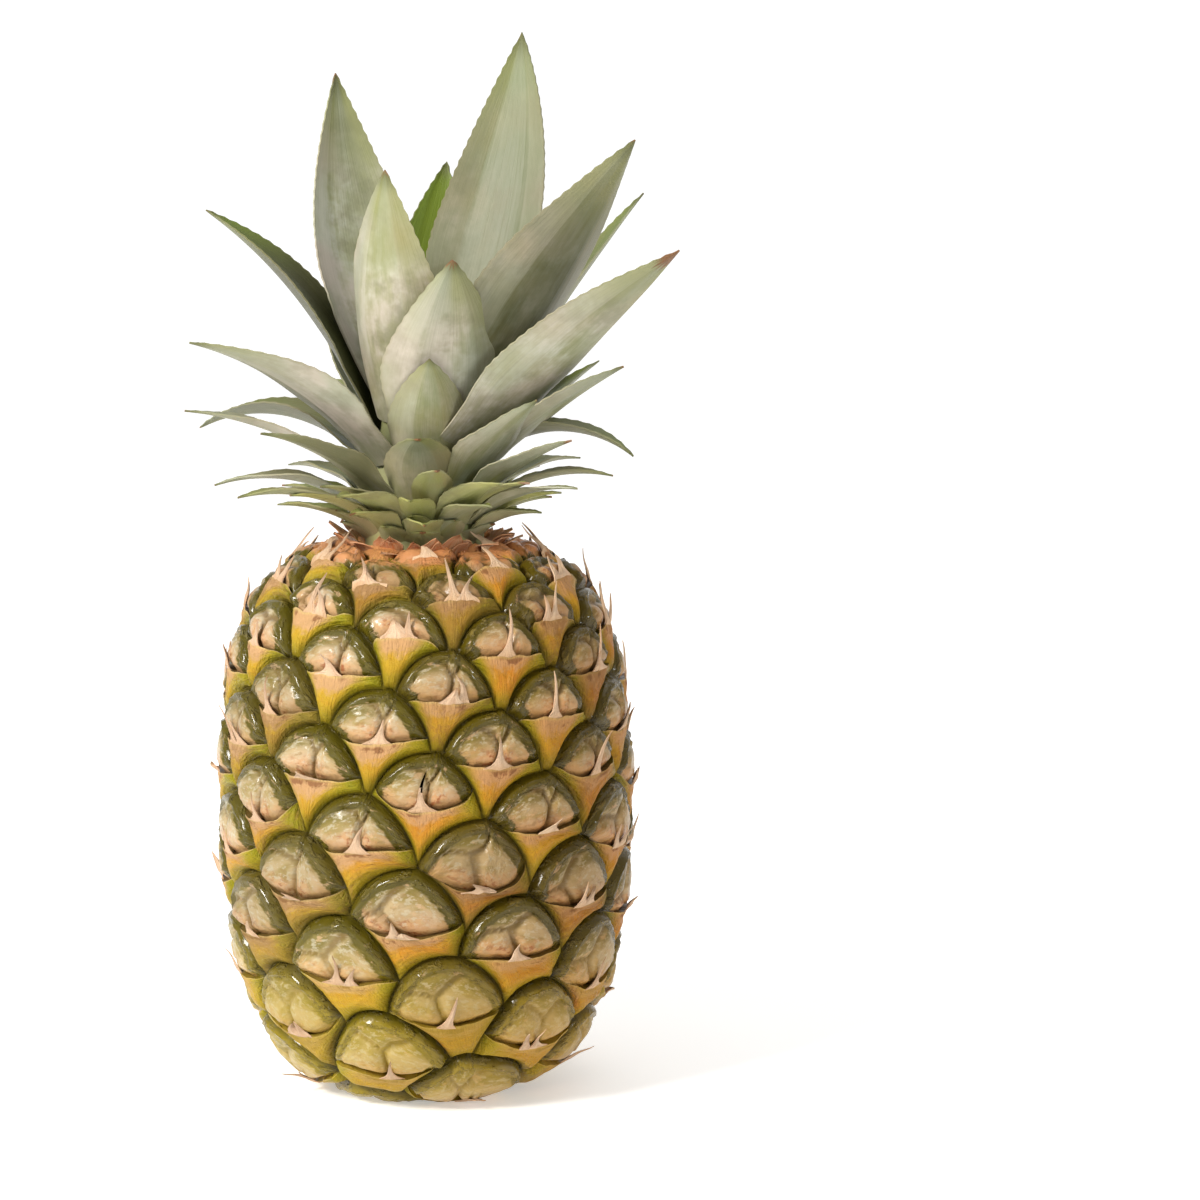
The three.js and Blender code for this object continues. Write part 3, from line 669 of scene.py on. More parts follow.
def raiseEye(sheet, cell, eye, lower, upper):  # adds the inner points; gives what the material needs of each
    columns = len(lower) - 1
    stride = eyes["shieldRows"] + eyes["domeRows"]
    inside, shape = fillEye(cell, eye, lower, upper)
    lowerPath, upperPath = (onSkin(np.array([point[1] for point in run]), 0.0) for run in (lower, upper))
    halfWide = np.linalg.norm(lowerPath[0] - lowerPath[-1]) / 2
    bare = onSkin(inside, 0.0)
    a, u = shape.T
    row = np.tile(np.arange(stride), columns - 1)
    onDome, onLedge = row >= eyes["shieldRows"], row == eyes["shieldRows"] - 1
    ledge = bare[onLedge]
    toUpper, toLower, toLedge = (toPath(bare, path) for path in (upperPath, lowerPath, ledge))
    tall = np.linalg.norm(upperPath[columns // 2] - ledge[(columns - 1) // 2])
    toSeam = toCreases(eye, np.column_stack([a * halfWide, u * tall, 0 * a]), halfWide, tall)
    spread = rindLook["seamSpread"]
    within = easing((rindLook["topWithin"] - np.abs(a)) / spread)
    top = easing((u - eye["fork"]) / spread) * (toSeam > spread) * within
    beads = rindLook["beadBase"] + rindLook["beadSwing"] * noiseAt(bare, rindLook["rimGrain"], eye["offset"])
    beads = np.clip(beads * rindLook["beads"], *rindLook["beadSpan"])
    dome = domeHeight(a, toUpper, toLedge, toSeam, top, beads)
    lift = np.where(onDome, dome, shieldHeight(a, -u, toLower))
    rough = noiseAt(bare, rindLook["grainScale"], eye["offset"] * rindLook["grainShift"])
    lift = lift + rindLook["grain"] * rough * (lift > rindLook["grainFrom"])
    lipSpots = [(x * rindLook["lipScale"], eye["offset"], rindLook["lipRow"]) for x in a]
    wander = np.array([noise.noise(Vector(spot)) for spot in lipSpots])
    push = eyes["overhang"] * (1 - a ** 4) * (rindLook["lip"] + rindLook["lipSwing"] * wander)
    push = push / skinSteps["roundness"]
    inside = np.where(onLedge[:, None], unit(inside + cell["north"][None] * push[:, None]), inside)
    lift = np.where(onLedge, lift + rindLook["lipLift"] * wander, lift)
    for direction, height in zip(inside, lift):
        addPoint(sheet, direction, float(height))
    cell.update(sag=eye["sag"], halfWide=halfWide)
    eye.update(halfWide=halfWide, tall=tall)
    return np.column_stack([a, u, np.where(onDome, toUpper, toLower), toLedge, toSeam, top])


def ripenessOf(cell, eye):
    middle = onSkin(cell["centre"], 0.0)[0]
    ripe = ripeness["base"] + ripeness["east"] * (middle[0] / ripeness["eastSpan"])
    ripe -= ripeness["high"] * (middle[2] / ripeness["highSpan"] - 1)
    return np.clip(ripe + ripeness["hue"] * (eye["hue"] - 0.5), 0, 1)


def faceEye(sheet, eye, lower, upper, facts, base, ripe):
    columns = len(lower) - 1
    stride = eyes["shieldRows"] + eyes["domeRows"]
    grid = [[lower[j][0], *range(base + (j - 1) * stride, base + j * stride), upper[j][0]] for j in range(1, columns)]
    grid = [[lower[0][0]] * (stride + 2)] + grid + [[lower[-1][0]] * (stride + 2)]
    for j in range(columns):
        for k in range(stride + 1):
            onShield = k < eyes["shieldRows"]
            quad = dict([(grid[j][k], j), (grid[j + 1][k], j + 1), (grid[j + 1][k + 1], j + 1), (grid[j][k + 1], j)])
            sheet["faces"].append(list(quad))
            for index, column in quad.items():
                if index >= base:
                    a, u, d, e, q, top = facts[index - base]
                else:
                    a, d, q, top = 2 * column / columns - 1, 0.0, rindLook["offCrease"], 0.0
                    u, e = (-1.0 if onShield else 1.0), eye["tall"]
                    if column in (0, columns):
                        u, e = rindLook["corner"][0 if onShield else 1], 0.0
                u = min(u, 0.0) if onShield else u
                shift = eye["offset"] * rindLook["rulerShift"]
                ruler = (a * eye["halfWide"] + eye["offset"], u * eye["tall"] + shift)
                d, e, q = (min(far / rulerSpans[to], 1) for far, to in ((d, "border"), (e, "ledge"), (q, "crease")))
                sheet["eyeMap"].append((a, u))
                sheet["eyeRuler"].append(ruler)
                sheet["eyeFacts"].append((d, eye["tone"], eye["wear"], e))
                sheet["eyeMarks"].append((q, top, ripe, 0.0 if onShield else 1.0))


def growRind():
    lists = ("directions", "lifts", "faces", "eyeMap", "eyeRuler", "eyeFacts", "eyeMarks")
    sheet = {"corners": {}, "sides": {}, **{name: [] for name in lists}}
    draw = random.Random(rindLook["seed"])
    for cell in cells:
        eye = drawEye(draw)
        lower, upper = splitBorder(cell, borderOf(sheet, cell))
        base = len(sheet["directions"])
        facts = raiseEye(sheet, cell, eye, lower, upper)
        faceEye(sheet, eye, lower, upper, facts, base, ripenessOf(cell, eye))
    return sheet


ends = {  # the flat seat at the top, the hollow for the stalk and the flat spots on the ground
    "seatRadius": 17.8, "seatHeight": 158.4, "seatReach": 6, "seatSlope": 0.75, "topFrom": 120, "lowUpTo": 30,
    "recess": [(17.5, 0.0), (13.4, 13.0), (10.8, 16.0), (0.0, 16.0)],
}


def fitEnds(points):
    radius = np.hypot(points[:, 0], points[:, 1])
    top = (points[:, 2] > ends["topFrom"]) & (radius < ends["seatRadius"] + ends["seatReach"])
    limit = ends["seatHeight"] + np.maximum(radius - ends["seatRadius"], 0) * ends["seatSlope"]
    points[:, 2] = np.where(top, np.minimum(points[:, 2], limit), points[:, 2])
    outline = np.array(ends["recess"])
    low = (points[:, 2] < ends["lowUpTo"]) & (radius < outline[0, 0])
    run = np.concatenate([[0], np.cumsum(np.hypot(*np.diff(outline, axis=0).T))])
    travelled = (1 - radius / outline[0, 0]) * run[-1]
    newRadius, newHeight = (np.interp(travelled, run, column) for column in outline.T)
    points[:, :2] *= np.where(low, newRadius / np.maximum(radius, 1e-6), 1.0)[:, None]
    points[:, 2] = np.where(low, newHeight, np.maximum(points[:, 2], 0.0))
    return points


def makeRind():
    sheet = growRind()
    lifted = onSkin(unit(np.array(sheet["directions"])), np.array(sheet["lifts"]))
    mesh = bpy.data.meshes.new("rind")
    mesh.from_pydata(keptIn(fitEnds(lifted) * mm).tolist(), [], sheet["faces"])
    for name in ("eyeMap", "eyeRuler"):
        mesh.uv_layers.new(name=name).data.foreach_set("uv", np.array(sheet[name], dtype=np.float32).ravel())
    for name in ("eyeFacts", "eyeMarks"):
        paint(mesh, name, sheet[name])
    mesh.update()
    piece = newPiece("rind", mesh)
    smoothed(piece, rindLook["smoothAngle"])
    return settle(piece, "fruit")


rindColours = {
    # groove is painted shade for the sunken grooves between fruitlets and under the ledges
    "groove": (0.06, 0.047, 0.003), "rim": (0.082, 0.066, 0.005), "rimLight": (0.25, 0.2, 0.06),
    "lobe": (0.4, 0.305, 0.165), "lobeGreen": (0.27, 0.205, 0.062), "lobeTop": (0.13, 0.105, 0.014),
    "film": (0.46, 0.33, 0.22), "lobeWarm": (0.46, 0.255, 0.105),
    "heart": (0.47, 0.27, 0.13), "heartSpot": (0.28, 0.1, 0.035),
    "crease": (0.13, 0.08, 0.02), "creaseEdge": (0.45, 0.35, 0.19), "dry": (0.5, 0.33, 0.18),
    "blotch": (0.25, 0.155, 0.055), "frost": (0.47, 0.43, 0.32),
    "shieldGreen": (0.24, 0.22, 0.008), "shieldYellow": (0.46, 0.29, 0.02), "shieldOrange": (0.5, 0.175, 0.018),
    "shieldFibre": (0.48, 0.31, 0.05), "shieldFoot": (0.24, 0.14, 0.01), "shieldGrooveShade": (0.17, 0.15, 0.006),
    "ledge": (0.49, 0.285, 0.14), "ledgeEdge": (0.52, 0.37, 0.15), "scuff": (0.22, 0.1, 0.04),
    "torn": (0.2, 0.08, 0.03), "neck": (0.54, 0.24, 0.1), "sunlit": (0.45, 0.33, 0.02), "hollow": (0.1, 0.065, 0.03),
    # the last colour is a painted warm shade, multiplied over the fruit's east side
    "dusk": (0.12, 0.085, 0.02), "paintedWarmShade": (0.84, 0.68, 0.48),
}
rindPatches = {
    "lobeGreen": ((0.16, 2.0, 0.5), (0.5, 0.62, 0.0, 0.8)),
    "film": ((0.11, 2.0), (0.5, 0.62)),
    "heartSpot": ((0.5, 3.0, 0.6), (0.5, 0.62)),
    "blotch": ((0.32, 4.0, 0.65), (0.54, 0.66, 0.0, 0.55)),
    "frost": ((0.6, 4.0, 0.7), (0.5, 0.6, 0.0, 0.6)),
    "beads": ((0.5, 3.0, 0.6), (0.5, 0.68)),
    "dryRim": ((0.28, 4.0, 0.65), (0.6, 0.66)),
    "torn": ((0.13, 2.0), (0.5, 0.56)),
}
rindSpans = {  # from where to where each change goes, then how strong it is at either end
    # millimetres to the border
    "greenEdge": (6.5, 3.5, 0.0, 0.4), "gloss": (5.0, 2.4), "dryRim": (1.4, 2.4), "domeGroove": (1.0, 0.3),
    "shieldRim": (8.0, 2.4), "grooveShadeReach": (1.0, 0.1, 0.0, 0.5), "shieldGroove": (0.6, 0.1, 0.0, 0.6),
    "sunlitInside": (0.5, 2.0, 0.0, 0.5),
    # millimetres to the ledge
    "warmFoot": (6.5, 1.5, 0.0, 0.7), "heartUp": (8.0, 3.5), "frostUp": (2.0, 6.0), "ledgeShadow": (0.9, 0.25),
    # millimetres to the crease
    "creaseOuter": (2.0, 1.0), "creaseInner": (0.5, 0.9), "crease": (1.2, 0.2),
    # shares of the fruitlet's half width
    "heartAcross": (0.5, 0.2), "greenSides": (0.45, 0.85, 0.0, 0.7), "warmAcross": (0.85, 0.2),
    "paperyAcross": (0.8, 0.35, 0.0, 0.9), "tornAcross": (0.6, 0.4),
    # shares of the dome's height and of the shield's
    "filmUp": (0.7, 0.1), "warmDown": (1.0, 0.45), "footDown": (0.6, 1.0, 0.0, 0.5), "paperyDown": (0.33, 0.06),
    "tornDown": (0.13, 0.06), "ledgeEdge": (0.05, 0.012),
    # what each fruitlet drew
    "heartDrawn": (0.0, 0.5, 0.45, 1.0), "duskDrawn": (0.45, 1.0, 0.0, 0.3),
    # metres up the fruit, out from its middle and from its left to its right
    "filmHigh": (0.12, 0.15, 0.0, 0.8), "sunlitLow": (0.06, 0.025), "hollowOut": (0.0182, 0.017),
    "hollowLow": (0.05, 0.04), "neck": (0.157, 0.159, 0.0, 0.85), "shadedEastSide": (-0.035, 0.05, 0.0, 0.8),
}
rindWaver = {  # how far the edge of a change strays
    "border": 2.6, "warm": 7.0, "heartUp": 6.0, "heartAcross": 0.5, "papery": 0.6, "torn": 0.5, "neck": 0.006,
}
rindShares = {
    "film": 0.7, "lobeTop": 0.85, "creaseEdge": 0.3, "crease": 0.75, "beads": 0.5, "dry": 0.6, "ledgeShadow": 0.8,
    "broad": 0.2, "fine": 0.08, "torn": 0.8, "ledgeEdge": 0.7, "scuff": 0.35, "drawnLedge": 0.15, "sunlitDome": 0.8,
}
rindGrains = {
    "wobble": (0.45, 4.0, 0.6), "folds": (0.4, 2.0, 0.5), "pores": (900.0, 3.0, 0.6), "fibres": (1.6, 0.16),
    "marks": 0.3,
}
# the dark rim band: partly the dome's own dark green and partly painted shade on its wall, wider to the east, away
# from the key lamp
rindRim = {"wide": 3.0, "lean": 0.6, "leaning": 0.9, "soft": 0.7}
rindSheen = {
    "rough": 0.42, "specular": 0.14, "dome": (0.34, 0.24), "shield": (0.36, 0.66), "marks": 0.15,
    "coat": (0.15, 0.3), "coatRough": 0.1, "bumpDeep": 0.0006, "bumpStrong": 0.9,
    "fibres": 0.5, "beads": 1.5, "folds": (1.6, 1.1), "pores": 0.35,
}


def radialOf(x, y):
    return mathOf("SQRT", plus(times(x, x), times(y, y)))


def rindMaterial():  # the mesh says how far each spot is from border, ledge and crease
    made, shader = freshMaterial("pineappleRind", rindSheen["rough"], rindSheen["specular"])
    tone, share, sheen = rindColours, rindShares, rindSheen
    a, u, _ = partsOf(uvOf("eyeMap"))
    ruler = uvOf("eyeRuler")
    border, freshness, wear, ledge = drawOf("eyeFacts")
    crease, topLobe, ripe, onDome = drawOf("eyeMarks")
    place = objectPlace()
    x, y, z = partsOf(place)
    side, down = mathOf("ABSOLUTE", a), times(u, -1.0)
    toBorder, toLedge = times(border, rulerSpans["border"]), times(ledge, rulerSpans["ledge"])
    toCrease = times(crease, rulerSpans["crease"])
    wobble = minus(grainOf(ruler, *rindGrains["wobble"]), 0.5)
    fibres = fibresOn(ruler, *rindGrains["fibres"])
    marks = placed(spotGroup, Vector=ruler, Scale=rindGrains["marks"], Amount=wear)["Mask"]

    def patch(name):
        return patchOf(ruler, rindPatches[name])

    def change(value, name):
        return step(value, *rindSpans[name])

    def wavered(value, name):
        return plus(value, times(wobble, rindWaver[name]))

    wavy = wavered(toBorder, "border")
    filmy = mathOf("MAXIMUM", times(patch("film"), change(u, "filmUp")), change(z, "filmHigh"))
    heart = times(change(wavered(side, "heartAcross"), "heartAcross"), change(wavered(toLedge, "heartUp"), "heartUp"),
                  change(freshness, "heartDrawn"))
    lobe = layered(
        tone, tone["lobe"],
        (patch("lobeGreen"), "lobeGreen"),
        (times(filmy, share["film"]), "film"),
        (change(wavy, "greenEdge"), "lobeGreen"),
        (times(topLobe, share["lobeTop"]), "lobeTop"),
        (change(wavered(toLedge, "warm"), "warmFoot"), "lobeWarm"),
        (heart, blend(patch("heartSpot"), tone["heart"], tone["heartSpot"])),
        (patch("blotch"), "blotch"),
        (times(patch("frost"), change(toLedge, "frostUp")), "frost"),
        # a pale line along each crease: the lobes' own paler thin margins, partly a painted highlight
        (times(change(toCrease, "creaseOuter"), change(toCrease, "creaseInner"), share["creaseEdge"]), "creaseEdge"),
        # painted shade down the middle of each crease
        (times(change(toCrease, "crease"), share["crease"]), "crease"),
    )
    beads = patch("beads")
    # lighter bead spots along the rim, partly painted highlights on the beads
    rim = blend(times(beads, share["beads"]), tone["rim"], tone["rimLight"])
    # the dark rim band, partly painted shade, widens towards the east
    rimWide = plus(rindRim["wide"], times(plus(a, rindRim["lean"]), rindRim["leaning"]))
    dome = layered(
        tone, lobe,
        (step(wavy, plus(rimWide, rindRim["soft"]), rimWide), rim),
        (times(patch("dryRim"), change(toBorder, "dryRim"), share["dry"]), "dry"),
        # painted shade in the groove round the dome
        (change(toBorder, "domeGroove"), "groove"),
        # painted shadow of the overhanging ledge on the dome
        (times(change(toLedge, "ledgeShadow"), share["ledgeShadow"]), "groove"),
    )

    reachDown = minus(wavered(down, "papery"), times(freshness, share["drawnLedge"]))
    papery = times(change(reachDown, "paperyDown"), change(side, "paperyAcross"))
    torn = times(change(wavered(down, "torn"), "tornDown"), patch("torn"), change(side, "tornAcross"), share["torn"])
    warm = blend(plus(ripe, wobble, clamp=True), tone["shieldYellow"], tone["shieldOrange"])
    shield = layered(
        tone, tone["shieldYellow"],
        (change(wavy, "shieldRim"), "shieldGreen"),
        (change(side, "greenSides"), "shieldGreen"),
        (times(change(side, "warmAcross"), change(down, "warmDown")), warm),
        (change(down, "footDown"), "shieldFoot"),
        (times(fibres["Broad"], share["broad"]), "shieldYellow"),
        (times(fibres["Fine"], share["fine"]), "shieldFibre"),
        (papery, "ledge"),
        (torn, "torn"),
        # a pale line on the ledge's edge: the paper's own pale colour, partly a painted highlight
        (times(change(down, "ledgeEdge"), share["ledgeEdge"]), "ledgeEdge"),
        (times(marks, share["scuff"]), "scuff"),
        # painted shade on the shield near the groove
        (change(wavy, "grooveShadeReach"), "shieldGrooveShade"),
        # painted shade in the groove round the shield
        (change(toBorder, "shieldGroove"), "groove"),
    )

    low = times(change(z, "sunlitLow"), change(toBorder, "sunlitInside"))
    low = times(low, between(onDome, 1.0, share["sunlitDome"]))
    inside = times(change(radialOf(x, y), "hollowOut"), change(z, "hollowLow"))
    skinColour = layered(
        tone, shield,
        (onDome, dome),
        (change(wear, "duskDrawn"), "dusk"),
        (low, "sunlit"),
        (inside, "hollow"),
        (change(wavered(z, "neck"), "neck"), "neck"),
    )
    gloss = change(wavy, "gloss")
    rough = between(onDome, between(papery, *sheen["shield"]), between(gloss, *sheen["dome"]))
    bumps = between(onDome, times(fibres["Fine"], sheen["fibres"]), times(beads, times(gloss, sheen["beads"])))
    folds = times(grainOf(ruler, *rindGrains["folds"]), between(onDome, *sheen["folds"]))
    height = plus(plus(bumps, folds), times(grainOf(place, *rindGrains["pores"]), sheen["pores"]))
    wireAll(shader, {
        # the east side is multiplied warmer and darker: painted warm shade on the side away from the key lamp
        "Base Color": blend(change(x, "shadedEastSide"), skinColour, tone["paintedWarmShade"], "MULTIPLY"),
        "Roughness": plus(rough, times(marks, sheen["marks"])),
        "Normal": bumpOf(height, sheen["bumpDeep"], sheen["bumpStrong"]),
        "Coat Weight": times(onDome, between(gloss, *sheen["coat"])),
        "Coat Roughness": sheen["coatRough"],
    })
    return made


rind = makeRind()
rind.data.materials.append(rindMaterial())
print("rind grown:", len(rind.data.polygons), "faces")


# Papery points of the bracts.
tipLook = {
    "across": 2, "along": 10, "bareWithin": 24.0, "root": 1.6, "thick": 0.4, "thinning": 0.55,
    "kinds": [  # share, length past the ledge, flare off the dome, half width at the ledge, half width of the point
        (0.5, (8.0, 14.0), (1.0, 4.6), (2.8, 5.2), (0.6, 1.0)),
        (0.22, (2.2, 5.0), (1.2, 4.0), (3.2, 5.4), (1.6, 3.0)),
        (0.28, (5.0, 8.5), (1.0, 3.2), (3.4, 6.0), (0.7, 1.3)),
    ],
    "secondSpike": 0.5, "secondNarrow": 0.6, "shift": 1.4, "secondShift": (2.2, 4.5),
    "lean": 3, "twist": 0.8, "bend": 1.4, "wave": 0.3, "keel": 0.5, "narrowing": 1.3,
    "rootDeep": 1.9, "rootRise": 1.75, "pastLedge": 0.35, "seed": 19, "smoothAngle": 50,
    "tones": {
        "pale": (0.67, 0.47, 0.3), "deep": (0.56, 0.34, 0.2), "root": (0.5, 0.29, 0.13), "tip": (0.4, 0.23, 0.11),
        "fibre": (0.72, 0.58, 0.42),
    },
}


def sheetMesh(name, across, along):  # a thin closed strip, with how far across, along and through it each point is
    deselectAll()
    bpy.ops.mesh.primitive_grid_add(x_subdivisions=across, y_subdivisions=along, size=2)
    sheet = bpy.context.object
    sheet.name = name
    wall = sheet.modifiers.new("wall", "SOLIDIFY")
    wall.thickness = 1.0
    wall.offset = 0
    applyAll(sheet)
    mesh = sheet.data.copy()
    bpy.data.objects.remove(sheet)
    across, along, through = coordsOf(mesh).T
    return mesh, across, (along + 1) / 2, through


def copyOf(mesh, name, places, drawing):
    made = mesh.copy()
    made.vertices.foreach_set("co", keptIn(np.asarray(places) * mm).ravel())
    paintAll(made, "pieceDraw", drawing)
    made.update()
    return newPiece(name, made)


def drawTip(draw, first):  # the numbers of one point; the second on a ledge is slimmer and stands beside the first
    look = tipLook
    kind = draw.choices(look["kinds"], [kind[0] for kind in look["kinds"]])[0] if first else look["kinds"][2]
    names = ("rise", "flare", "skirt", "point")
    tip = {name: draw.uniform(*span) for name, span in zip(names, kind[1:])}
    for name in ("lean", "twist", "bend"):
        tip[name] = draw.uniform(-look[name], look[name])
    if first:
        tip["shift"] = draw.uniform(-look["shift"], look["shift"])
    else:
        tip["shift"] = draw.choice((-1, 1)) * draw.uniform(*look["secondShift"])
        tip["skirt"] *= look["secondNarrow"]
    tip["wave"] = draw.uniform(0, 6)
    return tip


def tipPlaces(cell, tip, across, along, through):
    look = tipLook
    reach = -look["root"] + (look["root"] + tip["rise"]) * along ** 1.2
    over = np.clip(reach / tip["rise"], 0, 1)
    rooted = np.clip(1 + reach / look["root"], 0, 1)
    narrowing = (tip["skirt"] - tip["point"]) * np.exp(-np.maximum(reach, 0) / look["narrowing"])
    half = np.where(reach < 0, tip["skirt"], narrowing + tip["point"] * (1 - over) ** 0.7 + 0.05)
    spin = tip["twist"] * over
    x = tip["shift"] + tip["lean"] * over ** 1.6 + tip["bend"] * np.sin(pi * over) + across * half * np.cos(spin)
    keel = look["keel"] * (1 - np.abs(across)) * np.minimum(half, 2.0) * np.clip(over * 3, 0, 1)
    z = eyes["shieldHeight"] - look["rootDeep"] + look["rootRise"] * rooted
    z += tip["flare"] * over ** 1.3 + across * half * np.sin(spin)
    z += keel + look["wave"] * np.sin(tip["wave"] + 6 * over) * over
    z += through * look["thick"] * (1 - look["thinning"] * over)
    y = reach - cell["sag"] * cell["halfWide"] * (1 - (x / cell["halfWide"]) ** 2) + look["pastLedge"]
    base = onSkin(cell["centre"], 0.0)[0]
    out = unit(onSkin(cell["centre"], 1.0)[0] - base)
    north = np.cross(out, cell["east"])
    z -= x ** 2 / skinSteps["roundness"] / 2  # follows the round of the fruit
    return base + np.outer(x, cell["east"]) + np.outer(y, north) + np.outer(z, out)


def makeBractTips():
    mesh, *grid = sheetMesh("oneTip", tipLook["across"], tipLook["along"])
    half = skinSteps["fine"] // 2
    bareLimit = float(np.interp(tipLook["bareWithin"], skin["radius"][:half], skin["polar"][:half]))
    draw = random.Random(tipLook["seed"])
    parts = []
    for cell in cells:
        if acos(abs(cell["centre"][2])) <= bareLimit:
            continue
        for first in (True, False) if draw.random() < tipLook["secondSpike"] else (True,):
            places = tipPlaces(cell, drawTip(draw, first), *grid)
            parts.append(copyOf(mesh, "tip", places, (draw.random(), draw.random(), 0.0, 1.0)))
    tips = joinedPieces("bractTips", parts)
    smoothed(tips, tipLook["smoothAngle"])
    return settle(tips, "fruit")


paperyLook = {
    "rough": 0.72, "roughSpan": (0.62, 0.8), "specular": 0.3, "seed": 40.0, "fibres": (14.0, 1.6),
    "marks": (420.0, 0.35), "darker": 0.5, "fine": 0.35, "spots": 0.6,
    "rootAlong": (0.45, 0.0, 0.0, 0.8), "tipAlong": (0.75, 1.0), "tipDrawn": (0.5, 0.9),
    "bumpDeep": 0.0003, "bumpStrong": 0.8,
}


def paperyMaterial(name, tone):
    look = paperyLook
    made, shader = freshMaterial(name, look["rough"], look["specular"])
    x, y, _ = partsOf(uvOf("UVMap"))
    seed, darker, _, _ = drawOf("pieceDraw")
    fibres = fibresOn(joined(x, y, times(seed, look["seed"])), *look["fibres"])
    scale, amount = look["marks"]
    marks = placed(spotGroup, Vector=objectPlace(), Scale=scale, Amount=amount)["Mask"]
    colour = layered(
        tone, tone["pale"],
        (fibres["Broad"], "deep"),
        (times(darker, look["darker"]), "deep"),
        (times(fibres["Fine"], look["fine"]), "fibre"),
        (step(y, *look["rootAlong"]), "root"),
        (times(step(y, *look["tipAlong"]), step(seed, *look["tipDrawn"])), "tip"),
        (times(marks, look["spots"]), "tip"),
    )
    wireAll(shader, {
        "Base Color": colour,
        "Roughness": step(fibres["Fine"], 0.0, 1.0, *look["roughSpan"]),
        "Normal": bumpOf(fibres["Fine"], look["bumpDeep"], look["bumpStrong"]),
    })
    return made


bractTips = makeBractTips()
bractTips.data.materials.append(paperyMaterial("paperyBract", tipLook["tones"]))
print("bract tips set:", len(bractTips.data.polygons), "faces")


# The crown: stem, large leaves and small leaves. Heights on the stem are in the fruit's own frame.
crown = {
    "foot": 162.5, "gap": 0.35, "thick": 0.85,
    "stem": [(17.2, 158.75), (17.4, 165), (16.2, 176), (14, 188), (11, 200), (7.2, 210), (3, 216), (0, 217)],
    "stemSides": 40, "stemTone": (0.2, 0.4, -0.3, 0.0), "stemDraw": (0.3, 0.5, 0.5, 1),
    "rootShare": 0.66, "widestAt": 0.42, "channel": 0.3, "channelFrom": 0.35,
    "broad": 21.5, "broadTaper": 1.6, "slimTaper": 1.2, "largeSeed": 31, "smallSeed": 47, "smoothAngle": 50,
}

# azimuth, seat, length, width, tilt at root and tip, sweep at root and tip, then how waxy, how tan
# and how deep a green the leaf is
leafTable = {
    "heart": (188, 33, 80, 26, (16, 26), (-4, -12), 0.0, 0.0, 0.0),
    "tallest": (158, 39, 114, 36, (18, 22), (-16, 6), 0.5, 0.15, 0.45),
    "tall_left": (-146, 36, 105, 36, (36, 6), (0, 0), 1.0, 0.0, 0.0),
    "upright_left": (-34, 33, 74, 36, (17, 3), (2, 8), 0.9, 0.3, 0.0),
    "spread_right": (38, 31, 101, 38, (30, 34), (16, 14), 0.35, 0.3, 0.8),
    "rear_upright": (-168, 31, 74, 26, (30, 38), (0, 6), 0.3, 0.1, 0.3),
    "upright_front": (18, 23, 63, 37, (20, 26), (0, -4), 1.0, 0.1, 0.0),
    # edge_left's deep tone is partly its dark green face and partly painted shade, for it lies in shadow
    "edge_left": (-104, 29, 84, 27, (20, 58), (0, 0), 0.0, 0.0, 0.95),
    "rear_right": (136, 29, 86, 26, (30, 44), (0, 0), 0.3, 0.15, 0.3),
    "edge_right": (112, 26, 90, 21, (32, 42), (0, 0), 0.25, 0.15, 0.4),
    "low_right": (44, 23, 92, 37, (44, 50), (16, 14), 0.8, 0.25, 0.1),
    "rear_left": (-148, 24, 68, 25, (40, 56), (0, 0), 0.3, 0.1, 0.4),
    "front_mid": (6, 19, 38, 24, (22, 30), (0, 0), 0.6, 0.3, 0.1),
    "arch_left": (-56, 21, 69, 34, (38, 76), (-4, -6), 0.78, 0.2, 0.0),
    "rear": (176, 22, 82, 26, (42, 58), (0, 0), 0.4, 0.2, 0.2),
    "fan_right": (64, 17, 57, 22, (46, 62), (4, 4), 0.5, 0.2, 0.15),
    "reach_right": (104, 18, 48, 20, (42, 56), (0, 0), 0.2, 0.1, 0.5),
    "folded_left": (-104, 20, 58, 23, (42, 118), (0, 0), 0.15, 0.1, 0.6),
    "rear_low": (148, 16, 66, 21, (48, 74), (0, 0), 0.4, 0.2, 0.2),
    "rear_bent": (-152, 15, 64, 21, (50, 82), (0, 0), 0.4, 0.2, 0.2),
    "mid_right": (36, 14, 42, 20, (42, 54), (10, 8), 0.5, 0.3, 0.05),
    "low_left": (-72, 14, 59, 16, (48, 84), (0, 0), 0.85, 0.2, 0.0),
    "folded_right": (84, 20, 50, 21, (42, 130), (0, 0), 0.3, 0.15, 0.4),
    "short_left": (-40, 12, 47, 18, (46, 80), (-10, -10), 0.6, 0.35, 0.1),
    "front_low": (0, 10, 28, 22, (22, 76), (0, 0), 0.45, 0.4, 0.1),
    "short_right": (50, 10, 42, 16, (50, 72), (4, 4), 0.5, 0.4, 0.0),
    "rear_short": (180, 10, 50, 18, (52, 86), (0, 0), 0.4, 0.3, 0.1),
    "whip_left": (-84, 8, 45, 12, (54, 108), (0, 0), 0.5, 0.3, 0.1),
    "whip_right": (74, 8, 42, 12, (50, 100), (0, 0), 0.5, 0.35, 0.1),
    "curl_rear": (128, 8, 42, 13, (54, 96), (0, 0), 0.4, 0.3, 0.1),
    "curl_rear_left": (-132, 7, 42, 13, (56, 98), (0, 0), 0.4, 0.3, 0.1),
    "foot_right": (24, 6, 34, 15, (52, 82), (6, 10), 0.2, 0.25, -0.6),
    "foot_left": (-22, 5.5, 33, 15, (54, 90), (-8, -8), 0.2, 0.25, -0.6),
    "curl_left": (-60, 5, 43, 12, (56, 100), (0, 0), 0.4, 0.35, -0.2),
    "curl_right": (54, 4.5, 40, 12, (52, 92), (0, 0), 0.5, 0.4, 0.1),
}
leafBend = {"front_low": 2}
